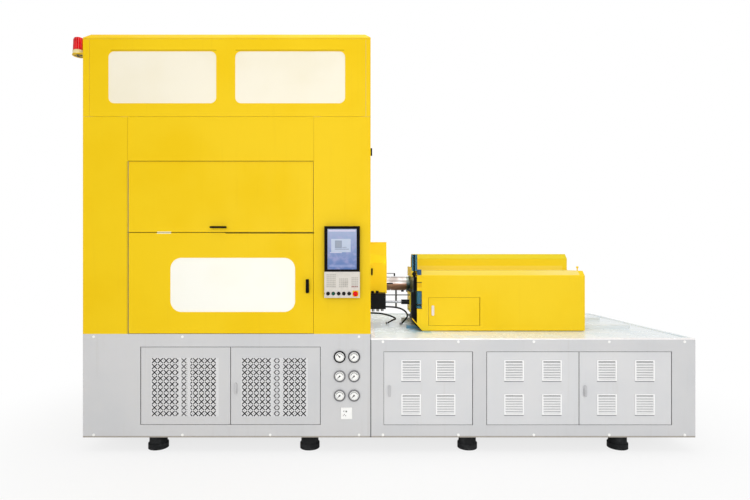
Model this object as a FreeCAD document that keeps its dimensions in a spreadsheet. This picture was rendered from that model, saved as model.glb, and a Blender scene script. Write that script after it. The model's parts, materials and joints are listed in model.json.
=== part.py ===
import FreeCAD, Part
import math
import os
import re
import Sketcher

# One-step stretch blow moulding machine, in millimetres.
# x runs along the machine from the clamp side to the injection side, y from front to back, z up.
# Inside this file a place is given as along (from the cabinet's left face), back (from the front
# face) and up (from the floor); formulas are written in the words of the sheet.

SIZES = {
    # whole machine
    "main_long": 2400, "side_long": 2708, "deep": 1900, "total_tall": 3500,
    "foot_tall": 120, "main_top": 983, "side_top": 941,
    "skin": 3, "seam": 2, "tube": 80, "tube_wall": 5, "near": 0.3, "run": 0.05,
    "rib_left": 650, "rib_right": 450,
    # levelling feet
    "foot_round": 83, "foot_inset": 110, "pad_side": 20, "pad_tall": 34, "pad_top": 71,
    "pad_neck": 41, "stud_round": 18, "lock_nut": 36, "lock_low": 84,
    "foot_one": 587, "foot_two": 1882, "foot_three": 3228, "foot_four": 4514,
    # concealed door hinges and leaves
    "leaf_deep": 24, "leaf_fold": 6, "door_gap": 4, "hinge_in": 10, "hinge_pin": 4,
    "hinge_end": 90, "boss_reach": 7, "knuckle_play": 1.5, "knuckle_tall": 14,
    "arm_thick": 7, "arm_half": 5, "arm_behind": 4, "arm_deep": 12,
    # turning latches
    "latch_half": 12, "latch_thick": 15, "latch_low": 72, "latch_high": 22, "latch_round": 11,
    "spindle_round": 8, "cam_half": 9, "cam_away": 6, "cam_thick": 4, "cam_long": 30,
    # perforated doors in the main base
    "perf_left": 479, "perf_wide": 752, "base_door_low": 225, "base_door_tall": 651,
    "latch_in": 44, "base_latch_up": 330,
    "hole_pitch": 49, "hole_arm": 16, "hole_half": 3.2, "dot_half": 2.4,
    "hole_left": 118, "hole_low": 90, "hole_columns": 11, "hole_rows": 10,
    "stiffener_in": 317, "stiffener_wide": 100, "stiffener_deep": 14, "stiffener_lap": 26,
    # louvre doors in the side base
    "single_left": 2508, "single_wide": 745, "double_left": 3365, "double_wide": 774,
    "side_door_low": 223, "side_door_tall": 613, "louvre_latch_in": 48, "louvre_latch_up": 310,
    "vent_wide": 162, "vent_tall": 172, "vent_proud": 7, "vent_rim": 9, "vent_side": 148,
    "vent_low": 86, "vent_rise": 283, "slat_pitch": 21, "slat_thick": 2, "slat_tall": 15,
    "slat_count": 7, "slat_up": 3,
    # deck
    "deck_thick": 6, "rim_wide": 42, "rim_tall": 4,
    # gauges, outlet plate and screw caps
    "gauge_left": 2142, "gauge_step": 120, "gauge_low": 471, "gauge_rise": 161,
    "gauge_round": 50, "gauge_case": 43, "gauge_rim": 5, "gauge_edge": 2, "gauge_proud": 13,
    "gauge_back": 34, "dial_in": 4, "dial_thick": 1, "spigot_round": 8, "spigot_long": 20,
    "pointer_long": 25, "pointer_half": 3, "pointer_thick": 0.8, "pointer_up": 0.2,
    "outlet_left": 2152, "outlet_side": 94, "outlet_low": 277, "outlet_proud": 12,
    "outlet_round": 6, "cap_round": 11, "cap_proud": 4, "cap_up": 22, "cap_down": 23,
    "cap_one": 91, "cap_two": 831, "cap_three": 1562, "cap_four": 2303,
    "side_cap_in": 102, "side_cap_step": 629,
    # cabinet
    "front_left": 375, "front_right": 1924, "lower_top": 1828, "header_low": 2421,
    "window_low": 2795, "roof_low": 3445, "roof_bevel": 45, "post": 60, "beam_up": 5,
    "corner_left": 54, "corner_right": 39, "mouth_in": 12,
    "pane_low": 2907, "pane_tall": 434, "pane_one": 212, "pane_one_wide": 900,
    "pane_two": 1270, "pane_two_wide": 917, "pane_round": 50, "pane_thick": 5, "pane_lap": 11,
    # lift door and its channels
    "lift_in": 5, "lift_deep": 20, "lift_lap": 20, "lift_travel": 440,
    "channel_wide": 30, "channel_deep": 30, "channel_wall": 3, "channel_in": 30,
    "channel_up": 10, "runner_play": 0.4, "runner_end": 20, "tongue_out": 4,
    "runner_arm": 8, "strap_thick": 4, "pull_left": 1066, "pull_wide": 138, "pull_up": 42,
    "pull_thick": 16, "pull_round": 7, "pull_reach": 38,
    # lower door
    "swing_hinge_end": 110, "sight_left": 729, "sight_wide": 1041, "sight_low": 1166,
    "sight_tall": 452, "sight_round": 92, "grip_left": 1862, "grip_wide": 26,
    "grip_low": 1325, "grip_tall": 116, "grip_reach": 30, "grip_thick": 14, "grip_round": 8,
    "grip_foot_in": 18,
    # side door of the cabinet
    "gate_front": 150, "gate_wide": 560, "gate_low": 1900, "gate_tall": 860,
    "gate_hinge_end": 120, "stile_wide": 40, "stile_deep": 60, "gate_grip_in": 30,
    "gate_grip_wide": 20, "gate_grip_low": 2508, "gate_grip_tall": 66,
    "gate_grip_reach": 16, "gate_grip_round": 5,
    # touch screen and key panel
    "panel_left": 2017, "panel_wide": 293, "panel_low": 1288, "panel_tall": 591,
    "panel_deep": 45, "bezel_proud": 3, "keys_tall": 215, "screen_side": 26, "screen_low": 19,
    "screen_tall": 334, "screen_in": 4, "screen_thick": 2,
    "keys_up": 85, "keys_proud": 1.5, "keys_one": 18, "keys_one_wide": 77,
    "keys_one_tall": 113, "keys_two": 121, "keys_two_wide": 75, "keys_two_tall": 78,
    "keys_three": 223, "keys_three_wide": 55, "keys_three_tall": 88,
    "button_up": 35, "button_first": 31, "button_step": 43.5, "button_count": 5,
    "button_round": 10.5, "button_proud": 4, "button_edge": 1, "button_long": 22,
    "ring_round": 14.5, "ring_proud": 6, "well_deep": 30, "well_play": 1,
    "stop_along": 257, "stop_plate": 48, "stop_round": 20.5, "stop_crown": 14,
    "stop_edge": 4, "stop_cap": 14, "stop_proud": 26, "stop_long": 42,
    # beacon
    "beacon_reach": 125, "beacon_back": 72, "beacon_up": 3336, "bracket_thick": 4,
    "bracket_half": 40, "bracket_drop": 55, "lens_round": 47, "lens_tall": 112,
    "lens_taper": 3, "lens_shoulder": 90, "lens_bend": 104, "lens_bend_round": 38,
    "lens_top_round": 21, "beacon_base_tall": 36, "beacon_lip": 2, "beacon_edge": 6,
    "flute_round": 3, "flute_deep": 1.6, "flute_tall": 87, "flute_count": 20,
    # machine bed, platens, tie bars and cylinders
    "axis_along": 1100, "bar_apart": 1240, "bar_deep": 960, "bar_round": 55,
    "bed_thick": 70, "bed_left": 250, "bed_wide": 1700, "bed_front": 250, "bed_deep": 1400,
    "platen_wide": 1400, "platen_deep": 1120, "platen_thick": 70,
    "station_up": 1720, "core_up": 2300, "top_up": 2960, "nut_round": 85, "nut_tall": 60,
    "main_cylinder": 130, "cylinder_bore": 61, "cylinder_tall": 380, "main_rod": 60,
    "stretch_cylinder": 45, "stretch_bore": 26, "stretch_rod": 25, "piston_in": 30,
    "rod_sink": 5, "end_flange": 25, "end_flange_tall": 30, "end_cap": 12,
    "end_cap_tall": 20, "end_wall": 15,
    # stations
    "station_out": 400, "slot_half": 60, "table_up": 1640, "table_thick": 25,
    "table_round": 600, "table_window": 30, "hub_round": 70, "hub_tall": 120,
    "neck_long": 460, "neck_wide": 150, "neck_thick": 20, "neck_hole": 15,
    "cavity_count": 4, "cavity_step": 110, "core_round": 12, "core_long": 610,
    "core_travel": 330, "core_sink": 10, "holder_half": 50, "holder_in": 10,
    "holder_tall": 120, "stretch_up": 2670, "stretch_thick": 60, "stretch_half": 45,
    "stretch_long": 980, "stretch_round": 7, "stretch_play": 8, "stretch_travel": 290,
    "mould_top": 1605, "mould_wide": 220, "mould_deep": 520, "cavity_deep": 260,
    "cavity_play": 4, "blow_low": 1260, "blow_wide": 120, "blow_open": 110,
    "slide_left": 60, "slide_right": 20, "bottle_low": 30, "bottle_round": 33,
    "bottle_foot": 6, "bottle_shoulder": 130, "bottle_throat": 181, "bottle_tall": 210,
    "bottle_neck": 13, "bottle_mouth": 40, "oven_half": 60, "oven_drop": 10,
    "pot_round": 20, "pot_deep": 240, "chute_front": 20, "chute_tall": 230,
    "chute_wall": 10, "chute_run": 390, "chute_rise": 310,
    # barrel
    "barrel_back": 950, "barrel_up": 1357, "barrel_round": 62, "band_round": 70,
    "band_long": 150, "band_gap": 8, "band_from": 1990, "band_count": 8, "barrel_end": 3300,
    "nozzle_tip": 1612, "nozzle_mouth": 8, "nozzle_round": 30, "nozzle_taper": 60,
    "nozzle_long": 260, "adapter_long": 300, "drain_along": 2677, "drain_low": 1112,
    "drain_round": 9, "plug_along": 2730, "plug_long": 26, "plug_half": 12, "plug_drop": 14,
    # front plate of the injection unit, with its flange, ear and castings
    "plate_along": 2797, "plate_thick": 52, "plate_front": 560, "plate_deep": 580,
    "plate_foot": 120, "plate_rise": 125, "plate_leg": 355, "plate_shelf": 291,
    "plate_height": 485, "plate_bevel": 120, "plate_dip": 24, "plate_dip_deep": 140,
    "plate_step": 17, "plate_step_up": 343, "plate_cut": 70, "plate_cut_wide": 44,
    "flange_front": 640, "flange_deep": 275, "flange_low": 1095, "flange_tall": 190,
    "flange_thick": 6, "bolt_round": 7, "bolt_back": 775, "bolt_one": 1139,
    "bolt_two": 1226, "bolt_three": 1266,
    "ear_front": 600, "ear_deep": 445, "ear_low": 1437, "ear_tall": 93, "ear_thick": 10,
    "casting_in": 8, "casting_play": 2, "shoe_low": 1150, "shoe_tall": 25,
    "casting_low": 1189, "casting_tall": 119,
    # stop rod in its guide, on the front cover
    "guide_left": 2791, "cheek_left": 12, "rod_slot": 15, "cheek_right": 21,
    "guide_foot": 38, "guide_in": 8, "guide_deep": 42, "guide_wall": 4, "guide_lift": 12,
    "guide_top": 1650, "stop_rod": 7, "stop_rod_in": 25, "knob_round": 18, "knob_up": 1467,
    # carriage floor, rails and drive
    "rail_front": 620, "rail_wide": 60, "rail_tall": 30, "rail_left": 2755,
    "carriage_travel": 150, "rail_spare": 364, "floor_thick": 18, "floor_short": 10,
    "track_play": 5, "drive_lap": 40, "drive_long": 340, "drive_half": 170,
    "drive_rise": 130, "motor_long": 360, "motor_round": 140,
    "pull_rod": 11, "pull_rod_up": 1192, "pull_rod_back": 680, "pull_rod_end": 2980,
    "pull_cylinder": 23, "pull_cylinder_from": 2710, "pull_cylinder_past": 200,
    "pull_cylinder_end": 10, "scale_rod": 5, "scale_rod_up": 1259,
    # covers and hatch
    "unit_end": 4386, "cover_left": 2836, "cover_front": 440, "cover_split": 840,
    "cover_back": 1460, "cover_low": 946, "front_cover_top": 1498, "rear_cover_top": 1658,
    "cover_bevel": 47, "ridge_deep": 180, "shoulder_in": 64, "cut_wide": 49, "cut_tall": 55,
    "toe_out": 47, "toe_low": 108, "toe_wide": 12,
    "notch_wide": 45, "notch_low": 1147, "notch_high": 1313,
    "hatch_left": 2941, "hatch_wide": 478, "hatch_low": 993, "hatch_tall": 261,
    "hatch_deep": 15, "hatch_hinge_end": 55, "hatch_latch_in": 40, "hatch_latch_up": 165,
    "hatch_stile": 30, "hatch_stile_deep": 40,
    "ball_round": 11, "ball_stem": 5, "ball_up": 32, "ball_in": 40, "ball_back": 70,
    # purge guard
    "guard_long": 173, "guard_low": 1268, "guard_top": 1778, "guard_shoulder": 1568,
    "guard_neck": 1648, "guard_half": 170, "guard_half_top": 118, "guard_hole": 76,
    "stay_up": 1457, "stay_tall": 6, "stay_half": 3, "stay_long": 80, "stay_end": 14,
    "stay_end_half": 7, "stay_drop": 25, "tab_in": 18, "tab_wide": 16, "tab_out": 14,
    "tab_down": 120, "tab_tall": 68, "tab_round": 5,
    # valve block and hoses
    "valve_long": 155, "valve_front": 600, "valve_deep": 160, "valve_low": 1128,
    "valve_tall": 150, "coil_round": 14, "coil_tall": 22, "coil_back": 50, "coil_in": 30,
    "coil_step": 45, "fitting_round": 13, "fitting_tall": 26, "fitting_in": 35,
    "fitting_step": 45, "fitting_back": 40, "fitting_shift": 25,
    "hose_round": 8, "gland_round": 16, "gland_tall": 22,
}

# each hose's corners from the valve block to its gland: along, back, up
HOSE_FRONT = [("main_long + near + valve_long", "700", "1142"), ("2640", "700", "1142"),
              ("2735", "722", "1115"), ("2785", "780", "1055"), ("2770", "860", "1000"),
              ("2725", "900", "side_top + hose_round")]
HOSE_REAR = [("main_long + near", "645", "1088"), ("2500", "645", "1088"),
             ("2620", "705", "1050"), ("2672", "800", "1010"), ("2635", "895", "988"),
             ("2586", "940", "side_top + hose_round")]

doc = FreeCAD.newDocument("blow_moulding_machine")
sheet = doc.addObject("Spreadsheet::Sheet", "Dims")
for row, (name, amount) in enumerate(SIZES.items(), start=1):
    sheet.set(f"A{row}", name)
    sheet.set(f"B{row}", str(amount))
    sheet.setAlias(f"B{row}", name)
doc.recompute()

LEFT = "((beacon_reach - main_long - side_long) / 2)"
FRONT = "((panel_deep + bezel_proud + ring_proud + stop_proud - deep) / 2)"
WORD = re.compile(r"[a-z][a-z_]+")
AXES = {"x": FreeCAD.Rotation(FreeCAD.Vector(0, 1, 0), 90),
        "y": FreeCAD.Rotation(FreeCAD.Vector(1, 0, 0), -90),
        "z": FreeCAD.Rotation()}
NODES = []


# ---- formulas and simple solids ----

def tied(formula):
    """The formula with each size's name pointing at its cell."""
    return WORD.sub(lambda m: "Dims." + m[0] if m[0] in SIZES else m[0], str(formula))


def number(formula):
    """What a formula comes to now."""
    return float(sheet.evalExpression(tied(formula)))


def put(piece, along, back, up):
    """Bind the piece's place to formulas."""
    for axis, formula in zip("xyz", (f"{LEFT} + ({along})", f"{FRONT} + ({back})", up)):
        piece.setExpression(f"Placement.Base.{axis}", tied(formula))
    return piece


def block(along, back, up):
    """A box between three pairs of formulas."""
    piece = doc.addObject("Part::Box", "Block")
    for side, (low, high) in zip(("Length", "Width", "Height"), (along, back, up)):
        piece.setExpression(side, tied(f"({high}) - ({low})"))
    return put(piece, along[0], back[0], up[0])


def drum(axis, along, back, up, radius):
    """A cylinder along one axis: the pair of formulas there says how far it runs."""
    piece = doc.addObject("Part::Cylinder", "Drum")
    spans = dict(zip("xyz", (along, back, up)))
    low, high = spans[axis]
    spans[axis] = low
    piece.Placement = FreeCAD.Placement(FreeCAD.Vector(), AXES[axis])
    piece.setExpression("Radius", tied(radius))
    piece.setExpression("Height", tied(f"({high}) - ({low})"))
    return put(piece, spans["x"], spans["y"], spans["z"])


def ball(along, back, up, radius):
    piece = doc.addObject("Part::Sphere", "Ball")
    piece.setExpression("Radius", tied(radius))
    return put(piece, along, back, up)


def fuse(*pieces):
    whole = doc.addObject("Part::MultiFuse", "Joined")
    whole.Shapes = list(pieces)
    return whole


def group(*pieces):
    """Separate solids kept together."""
    whole = doc.addObject("Part::Compound", "Set")
    whole.Links = list(pieces)
    return whole


def cut(base, *tools):
    piece = doc.addObject("Part::Cut", "Cut")
    piece.Base = base
    piece.Tool = tools[0] if len(tools) == 1 else group(*tools)
    return piece


def node(label, *pieces):
    """Name a sub-part, made of one solid or of several separate ones."""
    whole = pieces[0] if len(pieces) == 1 else group(*pieces)
    whole.Label = label
    NODES.append(whole)
    return whole


# ---- sketched solids ----

def plane(body, role):
    return next(f for f in body.Origin.OriginFeatures if f.Role == role)


def sketch(body, role, *loops):
    """Closed outlines whose corners are tied to the sheet, on one of the body's planes."""
    drawing = body.newObject("Sketcher::SketchObject", "Outline")
    drawing.AttachmentSupport = (plane(body, role), "")
    drawing.MapMode = "FlatFace"
    for corners in loops:
        first = drawing.GeometryCount
        spots = [FreeCAD.Vector(number(a), number(b), 0) for a, b in corners]
        count = len(spots)
        for i in range(count):
            drawing.addGeometry(Part.LineSegment(spots[i], spots[(i + 1) % count]))
        for i in range(count):
            after = first + (i + 1) % count
            drawing.addConstraint(Sketcher.Constraint("Coincident", first + i, 2, after, 1))
        for i, corner in enumerate(corners):
            for kind, formula in zip(("DistanceX", "DistanceY"), corner):
                rule = Sketcher.Constraint(kind, -1, 1, first + i, 1, number(formula))
                drawing.setExpression(f"Constraints[{drawing.addConstraint(rule)}]", tied(formula))
    return drawing


def pad(body, drawing, length):
    feature = body.newObject("PartDesign::Pad", "Pad")
    feature.Profile = drawing
    feature.setExpression("Length", tied(length))
    return feature


def profiled(corners, along, back, up, length):
    """A solid of one section, given as (back, up) corners, that runs along the machine."""
    body = doc.addObject("PartDesign::Body", "Profiled")
    pad(body, sketch(body, "YZ_Plane", corners), length)
    return put(body, along, back, up)


def upright(corners, along, back, up):
    """An upright plate of any outline, given as (along, up) corners, seen from the front."""
    body = doc.addObject("PartDesign::Body", "Upright")
    pad(body, sketch(body, "XZ_Plane", corners), f"({back[1]}) - ({back[0]})").Reversed = True
    return put(body, along, back[0], up)


def turned(corners, axis, along, back, up):
    """A turned solid: corners are (radius, distance along the axis)."""
    body = doc.addObject("PartDesign::Body", "Turned")
    drawing = sketch(body, "XZ_Plane", corners)
    spin = body.newObject("PartDesign::Revolution", "Turn")
    spin.Profile = drawing
    spin.ReferenceAxis = (drawing, ["V_Axis"])
    body.Placement = FreeCAD.Placement(FreeCAD.Vector(), AXES[axis])
    return put(body, along, back, up)


def edges_along(shape, direction, wanted=lambda spot: True):
    """Names of the straight edges that run one way, and whose middles are wanted."""
    names = []
    for i, edge in enumerate(shape.Edges, start=1):
        spot = edge.CenterOfMass
        way = edge.Vertexes[-1].Point - edge.Vertexes[0].Point
        if way.Length > 0 and abs(way.normalize().dot(direction)) > 0.999 and wanted(spot):
            names.append(f"Edge{i}")
    return names


def rounded(along, back, up, radius):
    """An upright plate with rounded corners, seen from the front."""
    body = doc.addObject("PartDesign::Body", "Rounded")
    wide = f"({along[1]}) - ({along[0]})"
    tall = f"({up[1]}) - ({up[0]})"
    outline = sketch(body, "XZ_Plane", [("0", "0"), (wide, "0"), (wide, tall), ("0", tall)])
    feature = pad(body, outline, f"({back[1]}) - ({back[0]})")
    feature.Reversed = True
    doc.recompute()
    fillet = body.newObject("PartDesign::Fillet", "Corners")
    fillet.Base = (feature, edges_along(feature.Shape, FreeCAD.Vector(0, 1, 0)))
    fillet.setExpression("Radius", tied(radius))
    return put(body, along[0], back[0], up[0])


def frame_tube(along, back, up, way):
    """A square tube, open along x, y or z."""
    spans = dict(zip("xyz", (along, back, up)))
    hollow = {}
    for axis, (low, high) in spans.items():
        if axis == way:
            hollow[axis] = (f"({low}) - 1", f"({high}) + 1")
        else:
            hollow[axis] = (f"({low}) + tube_wall", f"({high}) - tube_wall")
    return cut(block(*spans.values()), block(*hollow.values()))


# ---- doors ----

def leaf(along, up, back, deep, hinge, heights):
    """A folded door leaf, open behind, with knuckles for its pins.

    hinge is +1 for a hinge at the low end of along and -1 for one at its high end."""
    body = doc.addObject("PartDesign::Body", "Leaf")
    wide = f"({along[1]}) - ({along[0]})"
    tall = f"({up[1]}) - ({up[0]})"
    outline = sketch(body, "XZ_Plane", [("0", "0"), (wide, "0"), (wide, tall), ("0", tall)])
    front = pad(body, outline, deep)
    front.Reversed = True
    doc.recompute()
    folds = body.newObject("PartDesign::Fillet", "Folds")
    folds.Base = (front, edges_along(front.Shape, FreeCAD.Vector(0, 0, 1), lambda s: s.y < 1))
    folds.setExpression("Radius", tied("leaf_fold"))
    doc.recompute()
    shell = body.newObject("PartDesign::Thickness", "Sheet")
    behind = max(range(len(folds.Shape.Faces)), key=lambda i: folds.Shape.Faces[i].CenterOfMass.y)
    shell.Base = (folds, [f"Face{behind + 1}"])
    shell.setExpression("Value", tied("skin"))
    shell.Reversed = True
    put(body, along[0], back, up[0])

    pin = hinge_spot(along, hinge)
    outer = f"({pin}) - {hinge} * hinge_in"
    clear = sorted_pair(f"({outer}) - {hinge}", f"({pin}) + {hinge} * (boss_reach + 1)", hinge)
    boss = sorted_pair(f"({outer}) + {hinge} * skin", f"({pin}) + {hinge} * boss_reach", hinge)
    half = "(arm_thick / 2 + knuckle_play)"
    reach = f"({half} + knuckle_tall + 1)"
    slots, knuckles, bores = [], [], []
    for height in heights:
        slots.append(block(clear, (f"{back} + skin", f"{back} + {deep} + 1"),
                           (f"{height} - {half}", f"{height} + {half}")))
        for side in (-1, 1):
            ends = sorted_pair(f"{height} + {side} * {half}",
                               f"{height} + {side} * ({half} + knuckle_tall)", side)
            knuckles.append(block(boss, (f"{back} + skin / 2", f"{back} + hinge_in + boss_reach"),
                                  ends))
        bores.append(drum("z", pin, f"{back} + hinge_in",
                          (f"{height} - {reach}", f"{height} + {reach}"), "hinge_pin + run"))
    return cut(fuse(cut(body, *slots), *knuckles), *bores)


def sorted_pair(first, second, way):
    return (first, second) if way > 0 else (second, first)


def hinge_spot(along, hinge):
    """Where the pin stands along the machine."""
    edge = along[0] if hinge > 0 else along[1]
    return f"({edge}) + {hinge} * hinge_in"


def hinge_arms(along, jamb, back, deep, hinge, heights):
    """Fixed arms with pins: each runs from its pin round behind the leaf to the jamb."""
    pin = hinge_spot(along, hinge)
    behind = f"{back} + {deep} + arm_behind"
    arms = []
    for height in heights:
        level = (f"{height} - arm_thick / 2", f"{height} + arm_thick / 2")
        stem = block((f"({pin}) - arm_half", f"({pin}) + arm_half"),
                     (f"{back} + hinge_in", f"{behind} + arm_deep"), level)
        foot = block(sorted_pair(jamb, f"({pin}) + {hinge} * arm_half", hinge),
                     (behind, f"{behind} + arm_deep"), level)
        eye = drum("z", pin, f"{back} + hinge_in", level, "arm_half")
        reach = "(arm_thick / 2 + knuckle_play + knuckle_tall)"
        rod = drum("z", pin, f"{back} + hinge_in",
                   (f"{height} - {reach}", f"{height} + {reach}"), "hinge_pin")
        arms.append(fuse(stem, foot, eye, rod))
    return arms


def latch(along, back, up):
    """A turning lever on a spindle that passes through the door's sheet."""
    lever = rounded((f"{along} - latch_half", f"{along} + latch_half"),
                    (f"{back} - latch_thick", f"{back} - near"),
                    (f"{up} - latch_low", f"{up} + latch_high"), "latch_round")
    inner = f"{back} + skin + cam_away"
    spindle = drum("y", along, (f"{back} - latch_thick / 2", f"{inner} + cam_thick"), up,
                   "spindle_round")
    cam = block((f"{along} - cam_half", f"{along} + cam_half"), (inner, f"{inner} + cam_thick"),
                (f"{up} - cam_long", f"{up} + cam_half"))
    return fuse(lever, spindle, cam)


def latch_hole(along, back, up):
    return drum("y", along, (f"{back} - 1", f"{back} + skin + 1"), up, "spindle_round + run")


# ---- bases ----

def levelling_feet():
    """Black pads with their locked studs, a row along the front and one along the back."""
    corners = [("0", "0"), ("foot_round", "0"), ("foot_round", "pad_side"),
               ("pad_top", "pad_tall"), ("lock_nut", "pad_neck"), ("stud_round", "pad_neck"),
               ("stud_round", "lock_low"), ("lock_nut", "lock_low"), ("lock_nut", "foot_tall"),
               ("0", "foot_tall")]
    node("levelling_feet",
         *[turned(corners, "z", along, back, "0")
           for along in ("foot_one", "foot_two", "foot_three", "foot_four")
           for back in ("foot_inset", "deep - foot_inset")])


def base_frames():
    """Square tubes under both halves, with posts at the door openings."""
    bars = []
    inner = ("skin", "deep - skin")
    rows = ((inner[0], f"{inner[0]} + tube"), (f"{inner[1]} - tube", inner[1]))
    rib = (f"{inner[0]} + tube", f"{inner[1]} - tube")
    perf_end = "perf_left + 2 * perf_wide"
    double_end = "double_left + 2 * double_wide"
    side_under = "side_top - deck_thick"
    halves = (
        ("skin", "main_long", "main_top",
         [("perf_left - tube", "perf_left"), (perf_end, f"{perf_end} + tube")]),
        ("main_long", "main_long + side_long - skin", side_under,
         [("single_left + single_wide", "double_left"), (double_end, f"{double_end} + tube")]),
    )
    for low, high, top, jambs in halves:
        ends = [(low, f"{low} + tube"), (f"{high} - tube", high)]
        middle = f"(({low}) + ({high})) / 2"
        levels = (("foot_tall", "foot_tall + tube"), (f"{top} - tube", top))
        stand = ("foot_tall + tube", f"{top} - tube")
        ribs = [(spot, f"{spot} + tube") for spot in (f"{middle} - rib_left",
                                                      f"{middle} + rib_right")]
        for level in levels:
            bars += [frame_tube((low, high), row, level, "x") for row in rows]
            bars += [frame_tube(spot, rib, level, "y") for spot in ends + ribs]
        bars += [frame_tube(spot, rows[0], stand, "z") for spot in ends + jambs]
        bars += [frame_tube(spot, rows[1], stand, "z")
                 for spot in ends + [(f"{middle} - tube / 2", f"{middle} + tube / 2")]]
    node("base_frames", *bars)


GAUGES = [(f"gauge_left + {i} * gauge_step", f"gauge_low + {j} * gauge_rise")
          for j in (2, 1, 0) for i in (0, 1)]


def base_fronts():
    """Front sheets with their door openings and the holes for the gauges."""
    main = block(("0", "main_long - seam / 2"), ("0", "skin"), ("foot_tall", "main_top"))
    opening = block(("perf_left", "perf_left + 2 * perf_wide"), ("-1", "skin + 1"),
                    ("base_door_low", "base_door_low + base_door_tall"))
    holes = [drum("y", along, ("-1", "skin + 1"), up, "gauge_case + near") for along, up in GAUGES]
    side = block(("main_long + seam / 2", "main_long + side_long"), ("0", "skin"),
                 ("foot_tall", "side_top - deck_thick"))
    rise = ("side_door_low", "side_door_low + side_door_tall")
    single = block(("single_left", "single_left + single_wide"), ("-1", "skin + 1"), rise)
    double = block(("double_left", "double_left + 2 * double_wide"), ("-1", "skin + 1"), rise)
    node("base_fronts", cut(main, opening, *holes), cut(side, single, double))


def base_cladding():
    """Side and back sheets of the two bases."""
    tall = ("foot_tall", "main_top")
    low = ("foot_tall", "side_top - deck_thick")
    end = "main_long + side_long"
    node("base_cladding",
         block(("0", "skin"), ("skin", "deep - skin"), tall),
         block(("0", "main_long - seam / 2"), ("deep - skin", "deep"), tall),
         block(("main_long + seam / 2", end), ("deep - skin", "deep"), low),
         block((f"{end} - skin", end), ("skin", "deep - skin"), low),
         *[block(along, ("skin + tube", "deep - skin - tube"),
                 ("foot_tall + tube", "foot_tall + tube + skin"))
           for along in (("skin", "main_long - near"), ("main_long", f"{end} - skin"))])


def deck_plate():
    """The flat deck with its raised pale rim."""
    left, right = "main_long + near", "main_long + side_long"
    slab = block((left, right), ("0", "deep"), ("side_top - deck_thick", "side_top"))
    rim = cut(block((left, right), ("0", "deep"),
                    ("side_top - deck_thick / 2", "side_top + rim_tall")),
              block((f"{left} + rim_wide", f"{right} - rim_wide"), ("rim_wide", "deep - rim_wide"),
                    ("side_top - deck_thick", "side_top + rim_tall + 1")))
    node("deck_plate", fuse(slab, rim))


def slot_field(along, up):
    """Rows of crossed slots with a small dot between each two, to be cut out of a sheet."""
    reach, half, dot_half = (number(name) for name in ("hole_arm", "hole_half", "dot_half"))
    pitch = number("hole_pitch")
    columns, rows = int(number("hole_columns")), int(number("hole_rows"))
    deep = 3 * number("skin")
    long, thin = math.sqrt(2) * reach + 2 * half, math.sqrt(2) * half
    arms = [Part.makeBox(x, deep, z, FreeCAD.Vector(-x / 2, 0, -z / 2))
            for x, z in ((2 * long, 2 * thin), (2 * thin, 2 * long))]
    cross = arms[0].fuse(arms[1]).removeSplitter()
    cross.Placement = FreeCAD.Placement(FreeCAD.Vector(),
                                        FreeCAD.Rotation(FreeCAD.Vector(0, 1, 0), 45))
    dot = Part.makeBox(2 * dot_half, deep, 2 * dot_half, FreeCAD.Vector(-dot_half, 0, -dot_half))
    tools = [cross.translated(FreeCAD.Vector(i * pitch, 0, j * pitch))
             for i in range(columns) for j in range(rows)]
    tools += [dot.translated(FreeCAD.Vector(i * pitch / 2, 0, j * pitch / 2))
              for i in range(2 * columns - 1) for j in range(2 * rows - 1) if (i + j) % 2]
    field = doc.addObject("Part::Feature", "Slots")
    field.Shape = Part.makeCompound(tools)
    return put(field, along, "-skin", up)


def stiffener(left, hinge, up):
    """A folded channel behind the slots, its two flanges flat on the sheet."""
    start = f"{left} + stiffener_in" if hinge > 0 else \
            f"{left} + perf_wide - stiffener_in - stiffener_wide"
    end = f"{start} + stiffener_wide"
    webs = ((f"{start} + stiffener_lap - skin", f"{start} + stiffener_lap"),
            (f"{end} - stiffener_lap", f"{end} - stiffener_lap + skin"))
    flanges = ((start, webs[0][1]), (webs[1][0], end))
    level = (f"{up[0]} + skin + near", f"{up[1]} - skin - near")
    runs = [block(along, ("skin", "2 * skin"), level) for along in flanges]
    runs += [block(along, ("skin", "stiffener_deep"), level) for along in webs]
    crown = block((webs[0][0], webs[1][1]), ("stiffener_deep - skin", "stiffener_deep"), level)
    return fuse(*runs, crown)


def perforated_door(label, left, hinge, latched):
    """A base door with a field of crossed slots."""
    right = f"{left} + perf_wide"
    along = (f"{left} + door_gap", f"{right} - door_gap / 2") if hinge > 0 else \
            (f"{left} + door_gap / 2", f"{right} - door_gap")
    up = ("base_door_low + door_gap", "base_door_low + base_door_tall - door_gap")
    heights = (f"{up[0]} + hinge_end", f"{up[1]} - hinge_end")
    field = slot_field(f"{left} + hole_left", f"{up[0]} + hole_low")
    door = cut(leaf(along, up, "0", "leaf_deep", hinge, heights), field)
    if latched:
        spot = (f"{left} + latch_in", "0", "base_door_low + base_latch_up")
        door = cut(door, latch_hole(*spot))
        node("latch_base", latch(*spot))
    node(label, door, stiffener(left, hinge, up))
    jamb = left if hinge > 0 else right
    return hinge_arms(along, jamb, "0", "leaf_deep", hinge, heights)


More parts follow.
